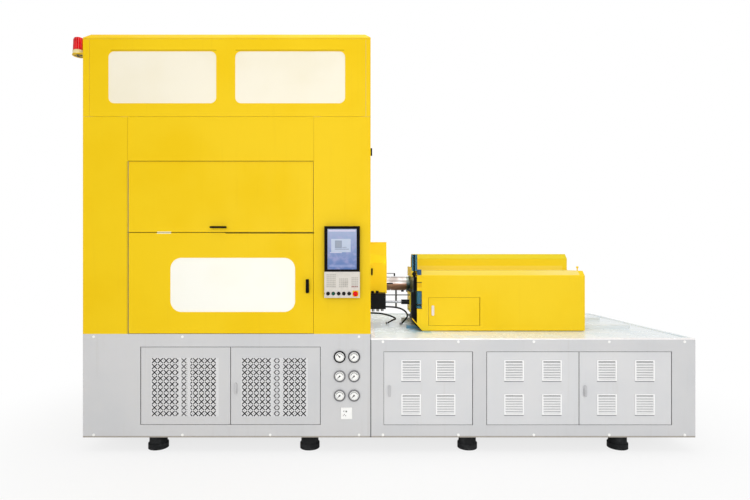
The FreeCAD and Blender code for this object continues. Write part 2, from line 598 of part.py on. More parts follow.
def vent(left, low):
    """A pressed louvre vent: a raised rim with an upright row of sloping slats."""
    rim = cut(block((left, f"{left} + vent_wide"), ("-vent_proud", "skin"),
                    (low, f"{low} + vent_tall")),
              block((f"{left} + vent_rim", f"{left} + vent_wide - vent_rim"),
                    ("-vent_proud - 1", "skin + 1"),
                    (f"{low} + vent_rim", f"{low} + vent_tall - vent_rim")))
    body = doc.addObject("PartDesign::Body", "Slats")
    slope = [("-vent_proud", "0"), ("skin", "slat_tall"), ("skin", "slat_tall + slat_thick"),
             ("-vent_proud", "slat_thick")]
    outline = sketch(body, "YZ_Plane", slope)
    slat = pad(body, outline, "vent_wide - vent_rim")
    doc.recompute()
    rows = body.newObject("PartDesign::LinearPattern", "Rows")
    rows.Originals = [slat]
    rows.Direction = (outline, ["V_Axis"])
    rows.setExpression("Length", tied("slat_pitch * (slat_count - 1)"))
    rows.setExpression("Occurrences", tied("slat_count"))
    body.Tip = rows
    put(body, f"{left} + vent_rim / 2", "0", f"{low} + vent_rim + slat_up")
    return fuse(rim, body)


def louvre_door(label, left, wide, hinge, latched):
    """A side base door with four louvre vents pressed out of it."""
    right = f"{left} + {wide}"
    along = (f"{left} + door_gap", f"{right} - door_gap / 2") if hinge > 0 else \
            (f"{left} + door_gap / 2", f"{right} - door_gap")
    up = ("side_door_low + door_gap", "side_door_low + side_door_tall - door_gap")
    heights = (f"{up[0]} + hinge_end / 2", f"{up[1]} - hinge_end / 2")
    door = leaf(along, up, "0", "leaf_deep", hinge, heights)
    windows, vents = [], []
    for start in (f"{left} + vent_side", f"{right} - vent_side - vent_wide"):
        for low in ("side_door_low + vent_low", "side_door_low + vent_low + vent_rise"):
            windows.append(block((f"{start} + vent_rim / 2", f"{start} + vent_wide - vent_rim / 2"),
                                 ("-1", "skin + 1"),
                                 (f"{low} + vent_rim / 2", f"{low} + vent_tall - vent_rim / 2")))
            vents.append(vent(start, low))
    door = fuse(cut(door, *windows), *vents)
    if latched:
        spot = (f"{left} + louvre_latch_in", "0", "side_door_low + louvre_latch_up")
        door = cut(door, latch_hole(*spot))
        node(label.replace("door", "latch"), latch(*spot))
    node(label, door)
    jamb = left if hinge > 0 else right
    return hinge_arms(along, jamb, "0", "leaf_deep", hinge, heights)


def gauges():
    """Pressure gauges: turned cases let into the front sheet, dials and pointers.

    The first pointer stands to the upper left, the others to the lower left."""
    cases, dials, pointers = [], [], []
    floor = "dial_in + dial_thick"
    rear = "gauge_proud + gauge_back"
    bowl = "gauge_round - gauge_rim"
    case = [("0", floor), (bowl, floor), (bowl, "0"), ("gauge_round - gauge_edge", "0"),
            ("gauge_round", "gauge_edge"), ("gauge_round", "gauge_proud"),
            ("gauge_case", "gauge_proud"), ("gauge_case", rear), ("spigot_round", rear),
            ("spigot_round", f"{rear} + spigot_long"), ("0", f"{rear} + spigot_long")]
    face = "dial_in - gauge_proud"
    for i, (along, up) in enumerate(GAUGES):
        cases.append(turned(case, "y", along, "-gauge_proud", up))
        dials.append(drum("y", along, (face, f"{face} + dial_thick"), up, f"{bowl} - near"))
        way = 1 if i == 0 else -1
        needle = [("pointer_half", f"{way} * pointer_half"),
                  ("-pointer_long", f"{way} * pointer_long"),
                  ("-pointer_half", f"{-way} * pointer_half")]
        near_face = f"{face} - pointer_up"
        pointers.append(upright(needle, along, (f"{near_face} - pointer_thick", near_face), up))
    node("gauge_cases", *cases)
    node("gauge_dials", *dials)
    node("gauge_pointers", *pointers)


def outlet_plate():
    return rounded(("outlet_left", "outlet_left + outlet_side"), ("-outlet_proud", "0"),
                   ("outlet_low", "outlet_low + outlet_side"), "outlet_round")


def white_fittings():
    """The white outlet plate, and the pale caps over the screws of the front sheets."""
    spots = [(along, "main_top - cap_down") for along in ("cap_one", "cap_two", "cap_four")]
    spots += [(along, "foot_tall + cap_up")
              for along in ("cap_one", "cap_two", "cap_three", "cap_four")]
    for i in range(5):
        along = f"main_long + side_cap_in + {i} * side_cap_step"
        spots += [(along, "side_top - cap_down"), (along, "foot_tall + cap_up")]
    node("white_fittings", outlet_plate(),
         *[drum("y", along, ("-cap_proud", "0"), up, "cap_round") for along, up in spots])


# ---- cabinet ----

def cabinet_frame():
    """Welded square tubes that carry the cabinet's sheets and door channels."""
    low, high = "main_top", "roof_low"
    sides = (("skin", "skin + tube"), ("main_long - skin - tube", "main_long - skin"))
    rows = (("skin", "skin + tube"), ("deep - skin - tube", "deep - skin"))
    beam = ("window_low + beam_up", "window_low + beam_up + post")
    across = (sides[0][1], sides[1][0])
    rib = (rows[0][1], rows[1][0])
    head = (f"{high} - tube", high)
    bars = [frame_tube(side, row, (low, high), "z") for side in sides for row in rows]
    bars += [frame_tube(across, row, head, "x") for row in rows]
    bars += [frame_tube(side, rib, head, "y") for side in sides]
    bars += [frame_tube(post, ("skin", "skin + post"), (low, beam[1]), "z")
             for post in (("front_left - post", "front_left"),
                          ("front_right", "front_right + post"))]
    bars.append(frame_tube(across, ("skin + post", "2 * post"), beam, "x"))
    node("cabinet_frame", *bars)


def cabinet_walls():
    """Left, right and back sheets, with the injection and gate openings, and the beacon's shelf."""
    up = ("main_top", "roof_low - seam")
    back = ("skin", "deep - skin")
    through = ("main_long - skin - 1", "main_long + 1")
    right = block(("main_long - skin", "main_long"), back, up)
    mouth = block(through, ("barrel_back - guard_half + mouth_in",
                            "barrel_back + guard_half - mouth_in"),
                  ("guard_low + mouth_in", "guard_shoulder"))
    gate = block(through, ("gate_front", "gate_front + gate_wide"),
                 ("gate_low", "gate_low + gate_tall"))
    node("cabinet_walls", beacon_shelf(),
         block(("0", "skin"), back, up), cut(right, mouth, gate),
         block(("0", "main_long / 2 - seam / 2"), ("deep - skin", "deep"), up),
         block(("main_long / 2 + seam / 2", "main_long"), ("deep - skin", "deep"), up))


def cabinet_roof():
    """A folded cap with a bevelled edge all round."""
    body = doc.addObject("PartDesign::Body", "Roof")
    outline = sketch(body, "XY_Plane", [("0", "0"), ("main_long", "0"), ("main_long", "deep"),
                                        ("0", "deep")])
    slab = pad(body, outline, "total_tall - roof_low")
    doc.recompute()
    top = number("total_tall - roof_low")
    names = []
    for way in (FreeCAD.Vector(1, 0, 0), FreeCAD.Vector(0, 1, 0)):
        names += edges_along(slab.Shape, way, lambda s: s.z > top - 1)
    bevel = body.newObject("PartDesign::Chamfer", "Bevel")
    bevel.Base = (slab, names)
    bevel.setExpression("Size", tied("roof_bevel"))
    doc.recompute()
    under = min(range(len(bevel.Shape.Faces)), key=lambda i: bevel.Shape.Faces[i].CenterOfMass.z)
    shell = body.newObject("PartDesign::Thickness", "Sheet")
    shell.Base = (bevel, [f"Face{under + 1}"])
    shell.setExpression("Value", tied("skin"))
    shell.Reversed = True
    node("cabinet_roof", put(body, "0", "0", "roof_low"))


def front_panels():
    """Corner trims, window panel, header and the two column panels."""
    back = ("0", "skin")
    high = ("window_low + seam / 2", "roof_low - seam")
    low = ("main_top", "window_low - seam / 2")
    lap = "pane_lap"
    panel = block(("corner_left + seam", "main_long - corner_right - seam"), back, high)
    windows = [rounded((f"{start}", f"{start} + {wide}"), ("-1", "skin + 1"),
                       ("pane_low", "pane_low + pane_tall"), "pane_round")
               for start, wide in (("pane_one", "pane_one_wide"), ("pane_two", "pane_two_wide"))]
    header = block(("front_left + near", "front_right - near"), back,
                   ("header_low", "window_low - seam / 2"))
    returns = [block((a, b), ("skin / 2", "channel_in + channel_deep"),
                     ("header_low", "window_low - seam / 2"))
               for a, b in (("front_left + near", "front_left + near + skin"),
                            ("front_right - near - skin", "front_right - near"))]
    node("front_panels",
         block(("0", "corner_left"), back, high),
         block(("main_long - corner_right", "main_long"), back, high),
         cut(panel, *windows), fuse(header, *returns),
         block(("0", "front_left"), back, low), block(("front_right", "main_long"), back, low))
    node("window_panes",
         *[block((f"{start} - {lap}", f"{start} + {wide} + {lap}"), ("skin", "skin + pane_thick"),
                 (f"pane_low - {lap}", f"pane_low + pane_tall + {lap}"))
           for start, wide in (("pane_one", "pane_one_wide"), ("pane_two", "pane_two_wide"))])


def lift_door():
    """The sliding front door, its captured runners and its pull."""
    along = ("front_left + door_gap", "front_right - door_gap")
    up = ("lower_top + door_gap / 2", "header_low + lift_lap")
    back = ("lift_in", "lift_in + lift_deep")
    tray = cut(block(along, back, up),
               block((f"{along[0]} + skin", f"{along[1]} - skin"),
                     (f"{back[0]} + skin", f"{back[1]} + 1"),
                     (f"{up[0]} + skin", f"{up[1]} - skin")))
    level = (f"{up[0]} + runner_end", f"{up[1]} - runner_end")
    slot = ("channel_in + channel_wall + runner_play",
            "channel_in + channel_deep - channel_wall - runner_play")
    runners = []
    for edge, side, way in (("front_left + near + skin", along[0], 1),
                            ("front_right - near - skin", along[1], -1)):
        floor = f"{edge} + {way} * (near + channel_wall + runner_play)"
        lip = f"{edge} + {way} * (near + channel_wide + runner_play)"
        arm = f"{lip} + {way} * runner_arm"
        runners += [
            block(sorted_pair(floor, f"{lip} + {way} * tongue_out", way), slot, level),
            block(sorted_pair(lip, arm, way), (f"{back[1]} - strap_thick / 2", slot[1]), level),
            block(sorted_pair(side, arm, way), (f"{back[1]} - strap_thick", back[1]), level)]
    node("lift_door", fuse(tray, *runners))

    middle = ("pull_left", "pull_left + pull_wide")
    front = f"{back[0]} - pull_reach"
    height = f"{up[0]} + pull_up"
    bar = rounded(middle, (front, f"{front} + pull_thick"),
                  (f"{height} - pull_thick / 2", f"{height} + pull_thick / 2"), "pull_round")
    feet = [drum("y", spot, (f"{front} + pull_thick / 2", back[0]), height, "pull_round")
            for spot in (f"{middle[0]} + pull_thick", f"{middle[1]} - pull_thick")]
    node("lift_pull", fuse(bar, *feet))


def guide_channels():
    """Channels beside the lift door, open towards it, as long as the door and its travel."""
    wall = "channel_wall"
    level = ("lower_top + channel_up", "header_low + lift_lap + lift_travel - runner_end")
    back = ("channel_in", "channel_in + channel_deep")
    rails = []
    for edge, way in (("front_left + near + skin", 1), ("front_right - near - skin", -1)):
        start = f"{edge} + {way} * near"
        outer = block(sorted_pair(start, f"{start} + {way} * channel_wide", way), back, level)
        inner = block(sorted_pair(f"{start} + {way} * {wall}",
                                  f"{start} + {way} * (channel_wide + 1)", way),
                      (f"{back[0]} + {wall}", f"{back[1]} - {wall}"),
                      (f"{level[0]} - 1", f"{level[1]} + 1"))
        rails.append(cut(outer, inner))
    return rails


def swing_door():
    """The lower door with its sight window and upright grip."""
    along = ("front_left + door_gap", "front_right - door_gap / 2")
    up = ("main_top + door_gap", "lower_top - door_gap / 2")
    heights = (f"{up[0]} + swing_hinge_end", f"{up[1]} - swing_hinge_end")
    sight = rounded(("sight_left", "sight_left + sight_wide"), ("-1", "skin + 1"),
                    ("sight_low", "sight_low + sight_tall"), "sight_round")
    node("swing_door", cut(leaf(along, up, "0", "leaf_deep", 1, heights), sight))
    lap = "pane_lap"
    node("sight_pane", block((f"sight_left - {lap}", f"sight_left + sight_wide + {lap}"),
                             ("skin", "skin + pane_thick"),
                             (f"sight_low - {lap}", f"sight_low + sight_tall + {lap}")))
    bar = rounded(("grip_left", "grip_left + grip_wide"),
                  ("-grip_reach", "grip_thick - grip_reach"),
                  ("grip_low", "grip_low + grip_tall"), "grip_round")
    feet = [drum("y", "grip_left + grip_wide / 2", ("grip_thick / 2 - grip_reach", "0"), up,
                 "grip_round")
            for up in ("grip_low + grip_foot_in", "grip_low + grip_tall - grip_foot_in")]
    node("swing_grip", fuse(bar, *feet))
    return hinge_arms(along, "front_left", "0", "leaf_deep", 1, heights)


def side_gate():
    """The side door of the cabinet, made square to the front and turned to the side."""
    here = f"-{LEFT}"
    face = f"-{FRONT}"
    along = (f"{here} + gate_front + door_gap", f"{here} + gate_front + gate_wide - door_gap")
    up = ("gate_low + door_gap", "gate_low + gate_tall - door_gap")
    heights = (f"{up[0]} + gate_hinge_end", f"{up[1]} - gate_hinge_end")
    jamb = f"{here} + gate_front + gate_wide"
    stile = block((jamb, f"{jamb} + stile_wide"), (f"{face} + skin", f"{face} + stile_deep"), up)
    start = f"{here} + gate_front + gate_grip_in"
    grip = rounded((start, f"{start} + gate_grip_wide"), (f"{face} - gate_grip_reach", face),
                   ("gate_grip_low", "gate_grip_low + gate_grip_tall"), "gate_grip_round")
    door = leaf(along, up, face, "leaf_deep", -1, heights)
    arms = hinge_arms(along, jamb, face, "leaf_deep", -1, heights)
    turned_pieces = []
    for piece in [door, grip, stile, *arms]:
        holder = group(piece)
        holder.Placement = FreeCAD.Placement(FreeCAD.Vector(), FreeCAD.Rotation(90, 0, 0))
        turned_pieces.append(put(holder, "main_long", "0", "0"))
    node("side_gate", turned_pieces[0])
    node("side_grip", turned_pieces[1])
    return turned_pieces[2:]


# ---- touch screen and beacon ----

def touch_panel():
    """The operator panel: housing with bezel, screen, key plate, buttons."""
    right = "panel_left + panel_wide"
    front = "-(panel_deep + bezel_proud)"
    split = "panel_low + keys_tall"
    screen = (("panel_left + screen_side", f"{right} - screen_side"),
              (f"{split} + screen_low", f"{split} + screen_low + screen_tall"))
    level = "panel_low + button_up"
    spots = [f"panel_left + button_first + {i} * button_step"
             for i in range(int(number("button_count")))]
    stop = "panel_left + stop_along"
    housing = block(("panel_left", right), (front, "0"), ("panel_low", "panel_low + panel_tall"))
    pocket = block(screen[0], (f"{front} - 1", f"{front} + screen_in"), screen[1])
    step = block(("panel_left - 1", f"{right} + 1"), (f"{front} - 1", f"{front} + bezel_proud"),
                 ("panel_low - 1", split))
    wells = [drum("y", spot, (f"{front} - 1", f"{front} + well_deep"), level,
                  "button_round + well_play") for spot in spots + [stop]]
    node("hmi_housing", cut(housing, pocket, step, *wells))
    node("hmi_screen", block((f"{screen[0][0]} + near", f"{screen[0][1]} - near"),
                             (f"{front} + screen_in - screen_thick", f"{front} + screen_in"),
                             (f"{screen[1][0]} + near", f"{screen[1][1]} - near")))

    plate = block(("panel_left", right), (front, f"{front} + bezel_proud"),
                  ("panel_low", f"{split} - near"))
    rings = [drum("y", spot, (f"{front} - ring_proud", front), level, "ring_round")
             for spot in spots + [stop]]
    bores = [drum("y", spot, (f"{front} - ring_proud - 1", f"{front} + bezel_proud + 1"), level,
                  "button_round + run") for spot in spots + [stop]]
    raised = (f"{front} - keys_proud", front)
    low = "panel_low + keys_up"
    pads = [block((f"panel_left + {name}", f"panel_left + {name} + {name}_wide"), raised,
                  (low, f"{low} + {name}_tall")) for name in ("keys_one", "keys_two", "keys_three")]
    pads.append(block((f"{stop} - stop_plate / 2", f"{stop} + stop_plate / 2"), raised,
                      (f"{level} - stop_plate / 2", f"{level} + stop_plate / 2")))
    node("key_panel", cut(fuse(plate, *rings, *pads), *bores))

    button = [("0", "0"), ("button_round - button_edge", "0"), ("button_round", "button_edge"),
              ("button_round", "button_long"), ("0", "button_long")]
    for i, spot in enumerate(spots, start=1):
        node(f"push_button_{i}",
             turned(button, "y", spot, f"{front} - ring_proud - button_proud", level))
    cap = [("0", "0"), ("stop_crown", "0"), ("stop_round", "stop_edge"),
           ("stop_round", "stop_cap"), ("button_round", "stop_cap"),
           ("button_round", "stop_long"), ("0", "stop_long")]
    node("emergency_stop", turned(cap, "y", stop, f"{front} - ring_proud - stop_proud", level))


def beacon_shelf():
    """The round-ended bracket beside the cabinet's top corner."""
    half = "(beacon_reach - beacon_back)"
    level = ("beacon_up - bracket_thick", "beacon_up")
    return fuse(block(("-beacon_back", "0"), (f"beacon_back - {half}", f"beacon_back + {half}"),
                      level),
                drum("z", "-beacon_back", "beacon_back", level, half),
                block(("-bracket_thick", "0"),
                      ("beacon_back - bracket_half", "beacon_back + bracket_half"),
                      ("beacon_up - bracket_drop", "beacon_up")))


def beacon():
    """The pale base and the fluted red lens."""
    lip = "lens_round + beacon_lip"
    base = [("0", "0"), (lip, "0"), (lip, "beacon_base_tall - beacon_edge"),
            ("lens_round - lens_taper", "beacon_base_tall"), ("0", "beacon_base_tall")]
    node("beacon_base", turned(base, "z", "-beacon_back", "beacon_back", "beacon_up"))
    body = doc.addObject("PartDesign::Body", "Lens")
    profile = sketch(body, "XZ_Plane", [("0", "0"), ("lens_round", "0"),
                                        ("lens_round - lens_taper", "lens_shoulder"),
                                        ("lens_bend_round", "lens_bend"),
                                        ("lens_top_round", "lens_tall"), ("0", "lens_tall")])
    spin = body.newObject("PartDesign::Revolution", "Turn")
    spin.Profile = profile
    spin.ReferenceAxis = (profile, ["V_Axis"])
    doc.recompute()
    bottom, side = "lens_round - flute_deep", "flute_round"
    notch = sketch(body, "XY_Plane", [(bottom, f"-{side}"), (lip, f"-{side} - beacon_lip"),
                                      (lip, f"{side} + beacon_lip"), (bottom, side)])
    groove = body.newObject("PartDesign::Pocket", "Flute")
    groove.Profile = notch
    groove.Reversed = True
    groove.setExpression("Length", tied("flute_tall"))
    doc.recompute()
    round_about = body.newObject("PartDesign::PolarPattern", "Flutes")
    round_about.Originals = [groove]
    round_about.Axis = (profile, ["V_Axis"])
    round_about.setExpression("Occurrences", tied("flute_count"))
    body.Tip = round_about
    node("beacon_lens", put(body, "-beacon_back", "beacon_back", "beacon_up + beacon_base_tall"))


# ---- inside the cabinet ----

BARS = [(f"axis_along + {i} * bar_apart / 2", f"barrel_back + {j} * bar_deep / 2")
        for i in (-1, 1) for j in (-1, 1)]


def platen(up, *holes):
    """A thick plate on the four bars."""
    plate = block(("axis_along - platen_wide / 2", "axis_along + platen_wide / 2"),
                  ("barrel_back - platen_deep / 2", "barrel_back + platen_deep / 2"),
                  (up, f"{up} + platen_thick"))
    bores = [rod_hole(along, back, up, "bar_round + near") for along, back in BARS]
    return cut(plate, *bores, *holes)


def rod_hole(along, back, up, radius):
    return drum("z", along, back, (f"{up} - 1", f"{up} + platen_thick + 1"), radius)


def cavity_line(along):
    """Where the preforms of a station stand, in a row from front to back."""
    return [(along, f"barrel_back + {step}") for step in CAVITIES]


STATION = "axis_along + station_out"
BLOW = "axis_along - station_out"
CAVITIES = [f"({i} - (cavity_count - 1) / 2) * cavity_step"
            for i in range(int(number("cavity_count")))]


def clamp_side():
    """Bed, platens, tie bars and hydraulic cylinders."""
    bed = block(("bed_left", "bed_left + bed_wide"), ("bed_front", "bed_front + bed_deep"),
                ("main_top", "main_top + bed_thick"))
    through = ("station_up - 1", "station_up + platen_thick + 1")
    slots = [block((f"{spot} - slot_half", f"{spot} + slot_half"),
                   ("barrel_back - neck_long / 2", "barrel_back + neck_long / 2"), through)
             for spot in (STATION, BLOW)]
    slots += [block(("axis_along - neck_long / 2", "axis_along + neck_long / 2"),
                    (f"barrel_back + {way} * station_out - slot_half",
                     f"barrel_back + {way} * station_out + slot_half"), through)
              for way in (-1, 1)]
    station = platen("station_up", *slots,
                     rod_hole("axis_along", "barrel_back", "station_up", "hub_round + run"))
    top = platen("top_up", rod_hole("axis_along", "barrel_back", "top_up", "main_rod + run"),
                 rod_hole(BLOW, "barrel_back", "top_up", "stretch_rod + run"))
    node("platens", bed, station, top)

    low = "main_top + bed_thick"
    crown = "top_up + platen_thick"
    tall = f"({crown} - ({low}))"
    bar = [("0", "0"), ("nut_round", "0"), ("nut_round", "nut_tall"), ("bar_round", "nut_tall"),
           ("bar_round", tall), ("nut_round", tall), ("nut_round", f"{tall} + nut_tall"),
           ("0", f"{tall} + nut_tall")]
    pieces = [turned(bar, "z", along, back, low) for along, back in BARS]
    neck, roof = "cylinder_tall - end_cap_tall", "cylinder_tall - end_wall"
    for along, outer, bore in (("axis_along", "main_cylinder", "cylinder_bore"),
                               (BLOW, "stretch_cylinder", "stretch_bore")):
        corners = [(bore, "0"), (f"{outer} + end_flange", "0"),
                   (f"{outer} + end_flange", "end_flange_tall"), (outer, "end_flange_tall"),
                   (outer, neck), (f"{outer} + end_cap", neck),
                   (f"{outer} + end_cap", "cylinder_tall"), ("0", "cylinder_tall"),
                   ("0", roof), (bore, roof)]
        pieces.append(turned(corners, "z", along, "barrel_back", crown))
    node("clamp_columns", *pieces)


def index_table():
    """The turning table with four slotted windows, its hub and the split neck plates below."""
    top = "table_up + table_thick"
    disc = drum("z", "axis_along", "barrel_back", ("table_up", top), "table_round")
    hub = drum("z", "axis_along", "barrel_back",
               (top, "station_up + platen_thick + hub_tall"), "hub_round")
    windows, plates = [], []
    half, deep = "neck_long / 2", "neck_wide / 2"
    level = ("table_up - neck_thick", "table_up")
    for i, j in ((1, 0), (-1, 0), (0, 1), (0, -1)):
        middle = (f"axis_along + {i} * station_out", f"barrel_back + {j} * station_out")
        reach = (deep, half) if i else (half, deep)
        along = (f"{middle[0]} - {reach[0]}", f"{middle[0]} + {reach[0]}")
        back = (f"{middle[1]} - {reach[1]}", f"{middle[1]} + {reach[1]}")
        windows.append(block((f"{along[0]} + table_window", f"{along[1]} - table_window"),
                             (f"{back[0]} + table_window", f"{back[1]} - table_window"),
                             ("table_up - 1", f"{top} + 1")))
        holes = [drum("z", f"{middle[0]} + {abs(j)} * {step}", f"{middle[1]} + {abs(i)} * {step}",
                      (f"{level[0]} - 1", f"{level[1]} + 1"), "neck_hole") for step in CAVITIES]
        plates.append(cut(block(along, back, level), *holes))
    node("index_table", cut(disc, *windows), hub, *plates)


def core_platen():
    """The moving platen with its cores and the clamp cylinder's rod."""
    top = "core_up + platen_thick"
    holes = [rod_hole(along, back, "core_up", "bar_round + run") for along, back in BARS]
    plate = block(("axis_along - platen_wide / 2", "axis_along + platen_wide / 2"),
                  ("barrel_back - platen_deep / 2", "barrel_back + platen_deep / 2"),
                  ("core_up", top))
    gaps = [rod_hole(along, back, "core_up", "stretch_round + stretch_play")
            for along, back in cavity_line(BLOW)]
    cores = [drum("z", along, back, ("core_up - core_long", "core_up + core_sink"), "core_round")
             for along, back in cavity_line(STATION)]
    holder = block((f"{STATION} - holder_half", f"{STATION} + holder_half"),
                   ("barrel_back - neck_long / 2 + holder_in",
                    "barrel_back + neck_long / 2 - holder_in"),
                   ("core_up - holder_tall", "core_up"))
    rod = drum("z", "axis_along", "barrel_back",
               (f"{top} - rod_sink", "top_up + platen_thick + core_travel + piston_in"),
               "main_rod")
    node("core_platen", fuse(cut(plate, *holes, *gaps), holder, rod, *cores))


def stretch_unit():
    """The crosshead with its stretch rods and piston rod."""
    top = "stretch_up + stretch_thick"
    bar = block((f"{BLOW} - stretch_half", f"{BLOW} + stretch_half"),
                ("barrel_back - neck_long / 2", "barrel_back + neck_long / 2"),
                ("stretch_up", top))
    rods = [drum("z", along, back, ("stretch_up - stretch_long", "stretch_up + rod_sink"),
                 "stretch_round") for along, back in cavity_line(BLOW)]
    piston = drum("z", BLOW, "barrel_back",
                  (f"{top} - rod_sink", "top_up + platen_thick + stretch_travel + piston_in"),
                  "stretch_rod")
    node("stretch_crosshead", fuse(bar, piston, *rods))


def blow_mould(label, way):
    """One half of the blow mould, with the half bottles cut into its inner face."""
    inner = f"{BLOW} + {way} * blow_open"
    outer = f"{inner} + {way} * blow_wide"
    half = block(sorted_pair(inner, outer, way),
                 ("barrel_back - mould_deep / 2", "barrel_back + mould_deep / 2"),
                 ("blow_low", "mould_top"))
    mouth = "bottle_tall + bottle_mouth"
    bottle = [("0", "0"), ("bottle_round - bottle_foot", "0"), ("bottle_round", "bottle_foot"),
              ("bottle_round", "bottle_shoulder"), ("bottle_neck", "bottle_throat"),
              ("bottle_neck", mouth), ("0", mouth)]
    base = "mould_top - bottle_tall - bottle_low"
    node(label, cut(half, *[turned(bottle, "z", inner, back, base)
                            for _, back in cavity_line(BLOW)]))


def station_tooling():
    """Injection mould, blow mould slide bed, conditioning block and bottle chute."""
    bed = "main_top + bed_thick"
    deep = ("barrel_back - mould_deep / 2", "barrel_back + mould_deep / 2")
    bores = [drum("z", along, back, ("mould_top - cavity_deep", "mould_top + 1"),
                  "core_round + cavity_play") for along, back in cavity_line(STATION)]
    mould = cut(block((f"{STATION} - mould_wide / 2", f"{STATION} + mould_wide / 2"), deep,
                      (bed, "mould_top")), *bores)
    slide = block((f"{BLOW} - blow_open - blow_wide - slide_left",
                   f"{BLOW} + blow_open + blow_wide + slide_right"), deep, (bed, "blow_low"))
    across = ("axis_along - neck_long / 2", "axis_along + neck_long / 2")
    middle, top = "barrel_back + station_out", "mould_top - oven_drop"
    pots = [drum("z", f"axis_along + {step}", middle, (f"{top} - pot_deep", f"{top} + 1"),
                 "pot_round") for step in CAVITIES]
    oven = cut(block(across, (f"{middle} - oven_half", f"{middle} + oven_half"), (bed, top)),
               *pots)
    side = [("0", "0"), ("0", "chute_tall"), ("chute_wall", "chute_tall"),
            ("chute_wall", "chute_wall"), ("chute_run", "chute_rise"),
            ("chute_run + chute_wall", "chute_rise - chute_wall"), ("2 * chute_wall", "0")]
    chute = profiled(side, across[0], "bed_front + chute_front", bed, "neck_long")
    node("station_tooling", mould, slide, oven, chute)


# ---- injection side ----

RAILS = ["rail_front", "2 * barrel_back - rail_front - rail_wide"]


def barrel():
    """Barrel with its heater bands and nozzle, the drain pipe and the plug below it."""
    bands = "band_from - nozzle_tip"
    end = "barrel_end - nozzle_tip"
    corners = [("0", "0"), ("nozzle_mouth", "0"), ("nozzle_round", "nozzle_taper"),
               ("nozzle_round", "nozzle_long"), ("barrel_round", "adapter_long"),
               ("barrel_round", bands)]
    for i in range(int(number("band_count"))):
        start = f"{bands} + {i} * (band_long + band_gap)"
        corners += [("band_round", start), ("band_round", f"{start} + band_long"),
                    ("barrel_round", f"{start} + band_long"),
                    ("barrel_round", f"{start} + band_long + band_gap")]
    corners = corners[:-1] + [("barrel_round", end), ("0", end)]
    drain = drum("z", "drain_along", "barrel_back", ("drain_low", "barrel_up"), "drain_round")
    plug = block(("plug_along", "plug_along + plug_long"),
                 ("barrel_back - plug_half", "barrel_back + plug_half"),
                 ("barrel_up - band_round - plug_drop", "barrel_up"))
    node("barrel", fuse(turned(corners, "x", "nozzle_tip", "barrel_back", "barrel_up"),
                        drain, plug))


def front_plate():
    """The upright plate that carries the barrel, cut back at its foot and at its head."""
    base = "side_top + rail_tall + near"
    end = "plate_along + plate_thick"
    high = "plate_height - plate_dip"
    outline = [("0", "0"), ("plate_foot", "0"), ("plate_foot", "plate_rise"),
               ("plate_leg", "plate_rise"), ("plate_leg", "plate_shelf"),
               ("plate_deep", "plate_shelf"), ("plate_deep", "plate_height - plate_bevel"),
               ("plate_deep - plate_bevel", "plate_height"),
               ("plate_dip_deep + plate_dip", "plate_height"), ("plate_dip_deep", high),
               ("0", high)]
    plate = profiled(outline, "plate_along", "plate_front", base, "plate_thick")
    bore = drum("x", ("plate_along - 1", f"{end} + 1"), "barrel_back", "barrel_up",
                "band_round + near")
    behind = ("plate_front - 1", "plate_front + plate_deep + 1")
    step = block(("plate_along - 1", "plate_along + plate_step"), behind,
                 (f"{base} + plate_step_up", f"{base} + plate_height + 1"))
    slope = upright([("-1", "-1"), ("plate_cut_wide", "-1"), ("-1", "plate_cut")],
                    "plate_along", behind, base)
    return cut(plate, bore, step, slope, *passages())


def passages():
    """Holes for the pull cylinder and the scale rod through the plate and its flange."""
    reach = ("plate_along - flange_thick - 1", "plate_along + plate_thick + 1")
    return [drum("x", reach, "pull_rod_back", "pull_rod_up", "pull_cylinder + near"),
            drum("x", reach, "pull_rod_back", "scale_rod_up", "scale_rod + near")]


def plate_fittings():
    """The bolted flange and the ear on the plate's left face, and two castings at its edge."""
    flange = block(("plate_along - flange_thick", "plate_along"),
                   ("flange_front", "flange_front + flange_deep"),
                   ("flange_low", "flange_low + flange_tall"))
    bolts = [drum("x", ("plate_along - flange_thick - 1", "plate_along + 1"), "bolt_back", up,
                  "bolt_round") for up in ("bolt_one", "bolt_two", "bolt_three")]
    face = "plate_along + plate_step"
    ear = block((f"{face} - ear_thick", face), ("ear_front", "ear_front + ear_deep"),
                ("ear_low", "ear_low + ear_tall"))
    castings = [block(("cover_left + casting_play", "cover_left + notch_wide - casting_play"),
                      ("cover_front + casting_in", "plate_front"), level)
                for level in (("shoe_low", "shoe_low + shoe_tall"),
                              ("casting_low", "casting_low + casting_tall"))]
    return [cut(flange, *bolts, *passages()), ear, *castings]


def stop_guide():
    """A channel on the front cover's bevel, and the stop rod with its knob that stands in it."""
    left, right = "cheek_left", "cheek_left + rod_slot"
    end = f"{right} + cheek_right"
    front = "cover_front + guide_in"
    back = f"{front} + guide_deep"
    low = "front_cover_top + near"
    tall = (low, "guide_top")

    def upright_block(start, stop, start_back):
        return block((f"guide_left + {start}", f"guide_left + {stop}"), (start_back, back), tall)

    foot = profiled([("guide_in", "guide_in - cover_bevel + 2 * near"),
                     ("cover_bevel", "2 * near"), ("guide_in + guide_deep", "2 * near"),
                     ("guide_in + guide_deep", "guide_lift"), ("guide_in", "guide_lift")],
                    f"guide_left + {end}", "cover_front", "front_cover_top", "guide_foot")
    channel = fuse(upright_block("0", left, front), upright_block(right, end, front),
                   upright_block("0", end, f"{back} - guide_wall"), foot)
    spot = (f"guide_left + {left} + rod_slot / 2", "cover_front + stop_rod_in")
    rod = fuse(drum("z", *spot, ("knob_up", "guide_top"), "stop_rod"),
               ball(*spot, "knob_up", "knob_round"))
    return [channel, rod]


